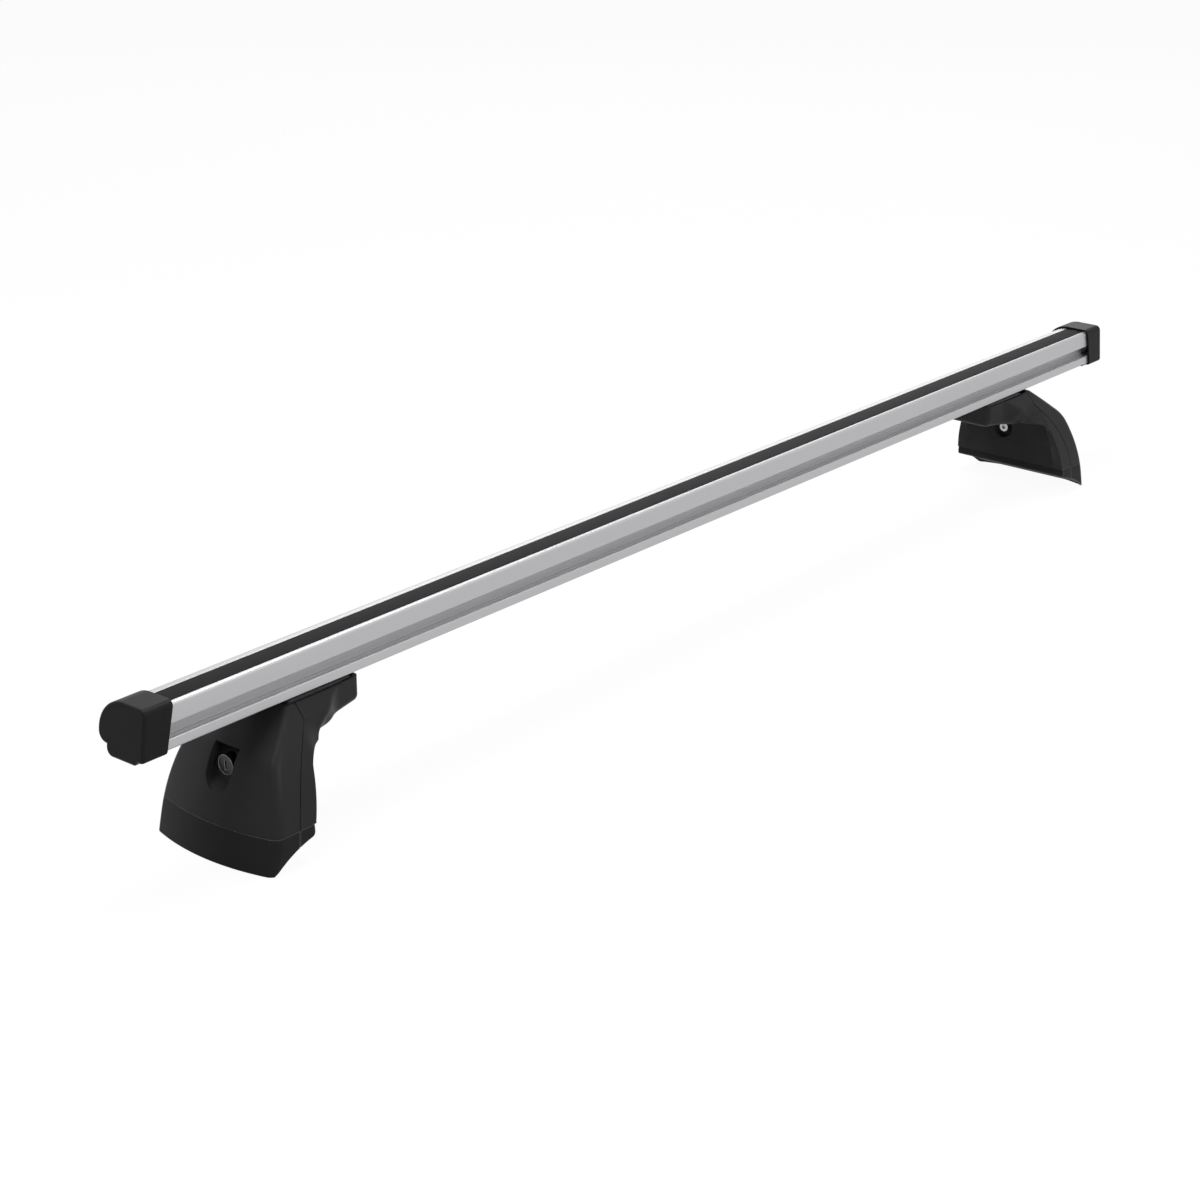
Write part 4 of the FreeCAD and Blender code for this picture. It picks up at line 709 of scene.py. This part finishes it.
def flare_share(point):
    """How much of the draw reaches a point: all of it at the flare's corners, none at the arm."""
    along = (abs(point.x) - FLARE_MIDDLE) / FLARE_REACH
    up = (point.z - FLARE_HEIGHT) / FLARE_RISE
    beside = (abs(point.y) - ARM_HALF_WIDTH) / FLARE_BLEND
    share = max(0.0, 1.0 - along * along) ** 2 * max(0.0, 1.0 - up * up) ** 2
    return share * min(1.0, max(0.0, beside))


def meets_flare(edge):
    """Whether any part of an edge lies in the flare."""
    start, end = (vertex.co for vertex in edge.verts)
    places = (start.lerp(end, step / EDGE_SAMPLES) for step in range(EDGE_SAMPLES + 1))
    return any(flare_share(place) > 0.0 for place in places)


def soft_flare(side):
    """A copy of one inner cover with its flare drawn in."""
    cover = bmesh.new()
    cover.from_mesh(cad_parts[side + "_inner_cover"].data)
    bmesh.ops.remove_doubles(cover, verts=cover.verts, dist=MERGE_DISTANCE)
    for _ in range(FLARE_PASSES):
        coarse = [
            edge for edge in cover.edges if edge.calc_length() > FLARE_FACET and meets_flare(edge)
        ]
        bmesh.ops.subdivide_edges(cover, edges=coarse, cuts=1)
        bmesh.ops.triangulate(cover, faces=[face for face in cover.faces if len(face.verts) > 3])
    for vertex in cover.verts:
        vertex.co.y -= math.copysign(FLARE_DRAW * flare_share(vertex.co), vertex.co.y)
    piece = mesh_piece(side + "_soft_inner_cover", cover, cover_plastic, FLARE_SHARP_ANGLE)
    shading = piece.modifiers.new("even_shading", "WEIGHTED_NORMAL")
    shading.keep_sharp = True
    return piece


for side in ("left", "right"):
    inner = soft_flare(side)
    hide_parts(side + "_inner_cover")
    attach(inner, side + "_foot")

# The skirts: soft black trim along each foot's lower edge, which follows the roof's curve. A
# painted highlight on their edges makes a light line where they meet the covers.
SKIRT_RUBBER = (0.0115, 0.0115, 0.0120, 1.0)
SKIRT_EDGE = 0.0008
skirt_rubber = moulded(
    "skirt_rubber", SKIRT_RUBBER, roughness=0.42, scale=1800.0, depth=0.25, specular=0.06,
    highlight_share=0.9, highlight_width=SKIRT_EDGE)
dress(["outer_skirt", "inner_skirt"], skirt_rubber)

# The outer covers: domed black mouldings that close each foot's outboard side. Each has a
# recess for the lock, and comes off with it.
dress(["outer_cover"], cover_plastic)

# The locks: a dark plated barrel and plug in each outer cover's recess. A steel cam on the
# plug's tail, held by a small screw, turns behind a catch of the core.
LOCK_METAL = (0.050, 0.050, 0.052, 1.0)
LOCK_EDGE = 0.0004
# The barrel's and plug's edges carry a strong painted highlight, which makes their light rim.
lock_metal = drawn_metal("lock_metal", LOCK_METAL, roughness=0.36, edge=LOCK_EDGE, highlight_share=0.8)
dress(["lock_barrel", "lock_plug"], lock_metal)
dress(["lock_cam", "cam_screw"], plated_steel)

# The studio: a plain white floor and surround, a broad soft lamp overhead, softer ones in
# front, at the near end and behind, and a long lens at the photograph's viewing angle.
FLOOR_HALF = 40.0
FLOOR_TONE = (0.85, 0.85, 0.85, 1.0)
FLOOR_ROUGHNESS = 0.9
FLOOR_WHITE_SHARE = 0.95
SURROUND_WHITE = (1.0, 1.0, 1.0, 1.0)
SURROUND_LIGHT = 0.26
CAMERA_PLACE = Vector((-1.78094, -1.37657, 0.909155))
CAMERA_AIM = Vector((0.71407, 0.59785, -0.36426))
CAMERA_LENS = 78.12
CAMERA_SENSOR = 36.0
CAMERA_REACH = 100.0


def seen_white(tree):
    """1 where the camera sees a surface directly, mirrored or through glass, and else 0."""
    path = tree.nodes.new("ShaderNodeLightPath")
    glossy = tree.nodes.new("ShaderNodeMath")
    glossy.operation = "MAXIMUM"
    through = tree.nodes.new("ShaderNodeMath")
    through.operation = "MAXIMUM"
    tree.links.new(path.outputs["Is Camera Ray"], glossy.inputs[0])
    tree.links.new(path.outputs["Is Glossy Ray"], glossy.inputs[1])
    tree.links.new(glossy.outputs["Value"], through.inputs[0])
    tree.links.new(path.outputs["Is Transmission Ray"], through.inputs[1])
    return through.outputs["Value"]


floor_shape = bmesh.new()
bmesh.ops.create_grid(floor_shape, x_segments=1, y_segments=1, size=FLOOR_HALF)
floor_material, floor_tree, floor_shader = node_material("studio_floor")
floor_shader.inputs["Base Color"].default_value = FLOOR_TONE
floor_shader.inputs["Roughness"].default_value = FLOOR_ROUGHNESS
floor_shader.inputs["Specular IOR Level"].default_value = 0.0
white = floor_tree.nodes.new("ShaderNodeEmission")
share = floor_tree.nodes.new("ShaderNodeMath")
share.operation = "MULTIPLY"
share.inputs[1].default_value = FLOOR_WHITE_SHARE
mix = floor_tree.nodes.new("ShaderNodeMixShader")
floor_output = floor_tree.nodes["Material Output"]
floor_tree.links.new(seen_white(floor_tree), share.inputs[0])
floor_tree.links.new(share.outputs["Value"], mix.inputs["Fac"])
floor_tree.links.new(floor_shader.outputs["BSDF"], mix.inputs[1])
floor_tree.links.new(white.outputs["Emission"], mix.inputs[2])
floor_tree.links.new(mix.outputs["Shader"], floor_output.inputs["Surface"])
floor = mesh_piece("floor", floor_shape, floor_material)

world = bpy.data.worlds.new("studio")
bpy.context.scene.world = world
world.use_nodes = True
world_tree = world.node_tree
light = world_tree.nodes["Background"]
light.inputs["Color"].default_value = SURROUND_WHITE
light.inputs["Strength"].default_value = SURROUND_LIGHT
surround = world_tree.nodes.new("ShaderNodeBackground")
surround.inputs["Color"].default_value = SURROUND_WHITE
surround.inputs["Strength"].default_value = 1.0
pick = world_tree.nodes.new("ShaderNodeMixShader")
world_tree.links.new(seen_white(world_tree), pick.inputs["Fac"])
world_tree.links.new(light.outputs["Background"], pick.inputs[1])
world_tree.links.new(surround.outputs["Background"], pick.inputs[2])
world_tree.links.new(pick.outputs["Shader"], world_tree.nodes["World Output"].inputs["Surface"])


def soft_light(name, place, target, width, height, power):
    """A rectangular lamp that looks at one point."""
    lamp = bpy.data.lights.new(name, "AREA")
    lamp.shape = "RECTANGLE"
    lamp.size = width
    lamp.size_y = height
    lamp.energy = power
    stand = bpy.data.objects.new(name, lamp)
    stand.location = place
    stand.rotation_mode = "QUATERNION"
    stand.rotation_quaternion = (Vector(target) - Vector(place)).to_track_quat("-Z", "Y")
    bpy.context.scene.collection.objects.link(stand)


soft_light("overhead", (0.1, 0.2, 2.4), (0.0, 0.0, 0.1), width=2.6, height=0.8, power=62.0)
soft_light("front", (-0.3, -2.9, 1.9), (-0.1, 0.0, 0.1), width=2.4, height=1.0, power=44.0)
soft_light("end", (-2.0, 0.1, 2.2), (-0.6, 0.0, 0.1), width=0.5, height=0.8, power=16.0)
soft_light("behind", (2.3, 1.9, 1.25), (0.0, 0.0, 0.15), width=2.2, height=0.9, power=12.0)

lens = bpy.data.cameras.new("camera")
lens.lens = CAMERA_LENS
lens.sensor_width = CAMERA_SENSOR
lens.clip_end = CAMERA_REACH
camera = bpy.data.objects.new("camera", lens)
camera.location = CAMERA_PLACE
camera.rotation_mode = "QUATERNION"
camera.rotation_quaternion = CAMERA_AIM.to_track_quat("-Z", "Y")
bpy.context.scene.collection.objects.link(camera)
bpy.context.scene.camera = camera
bpy.context.scene.view_settings.view_transform = "Standard"
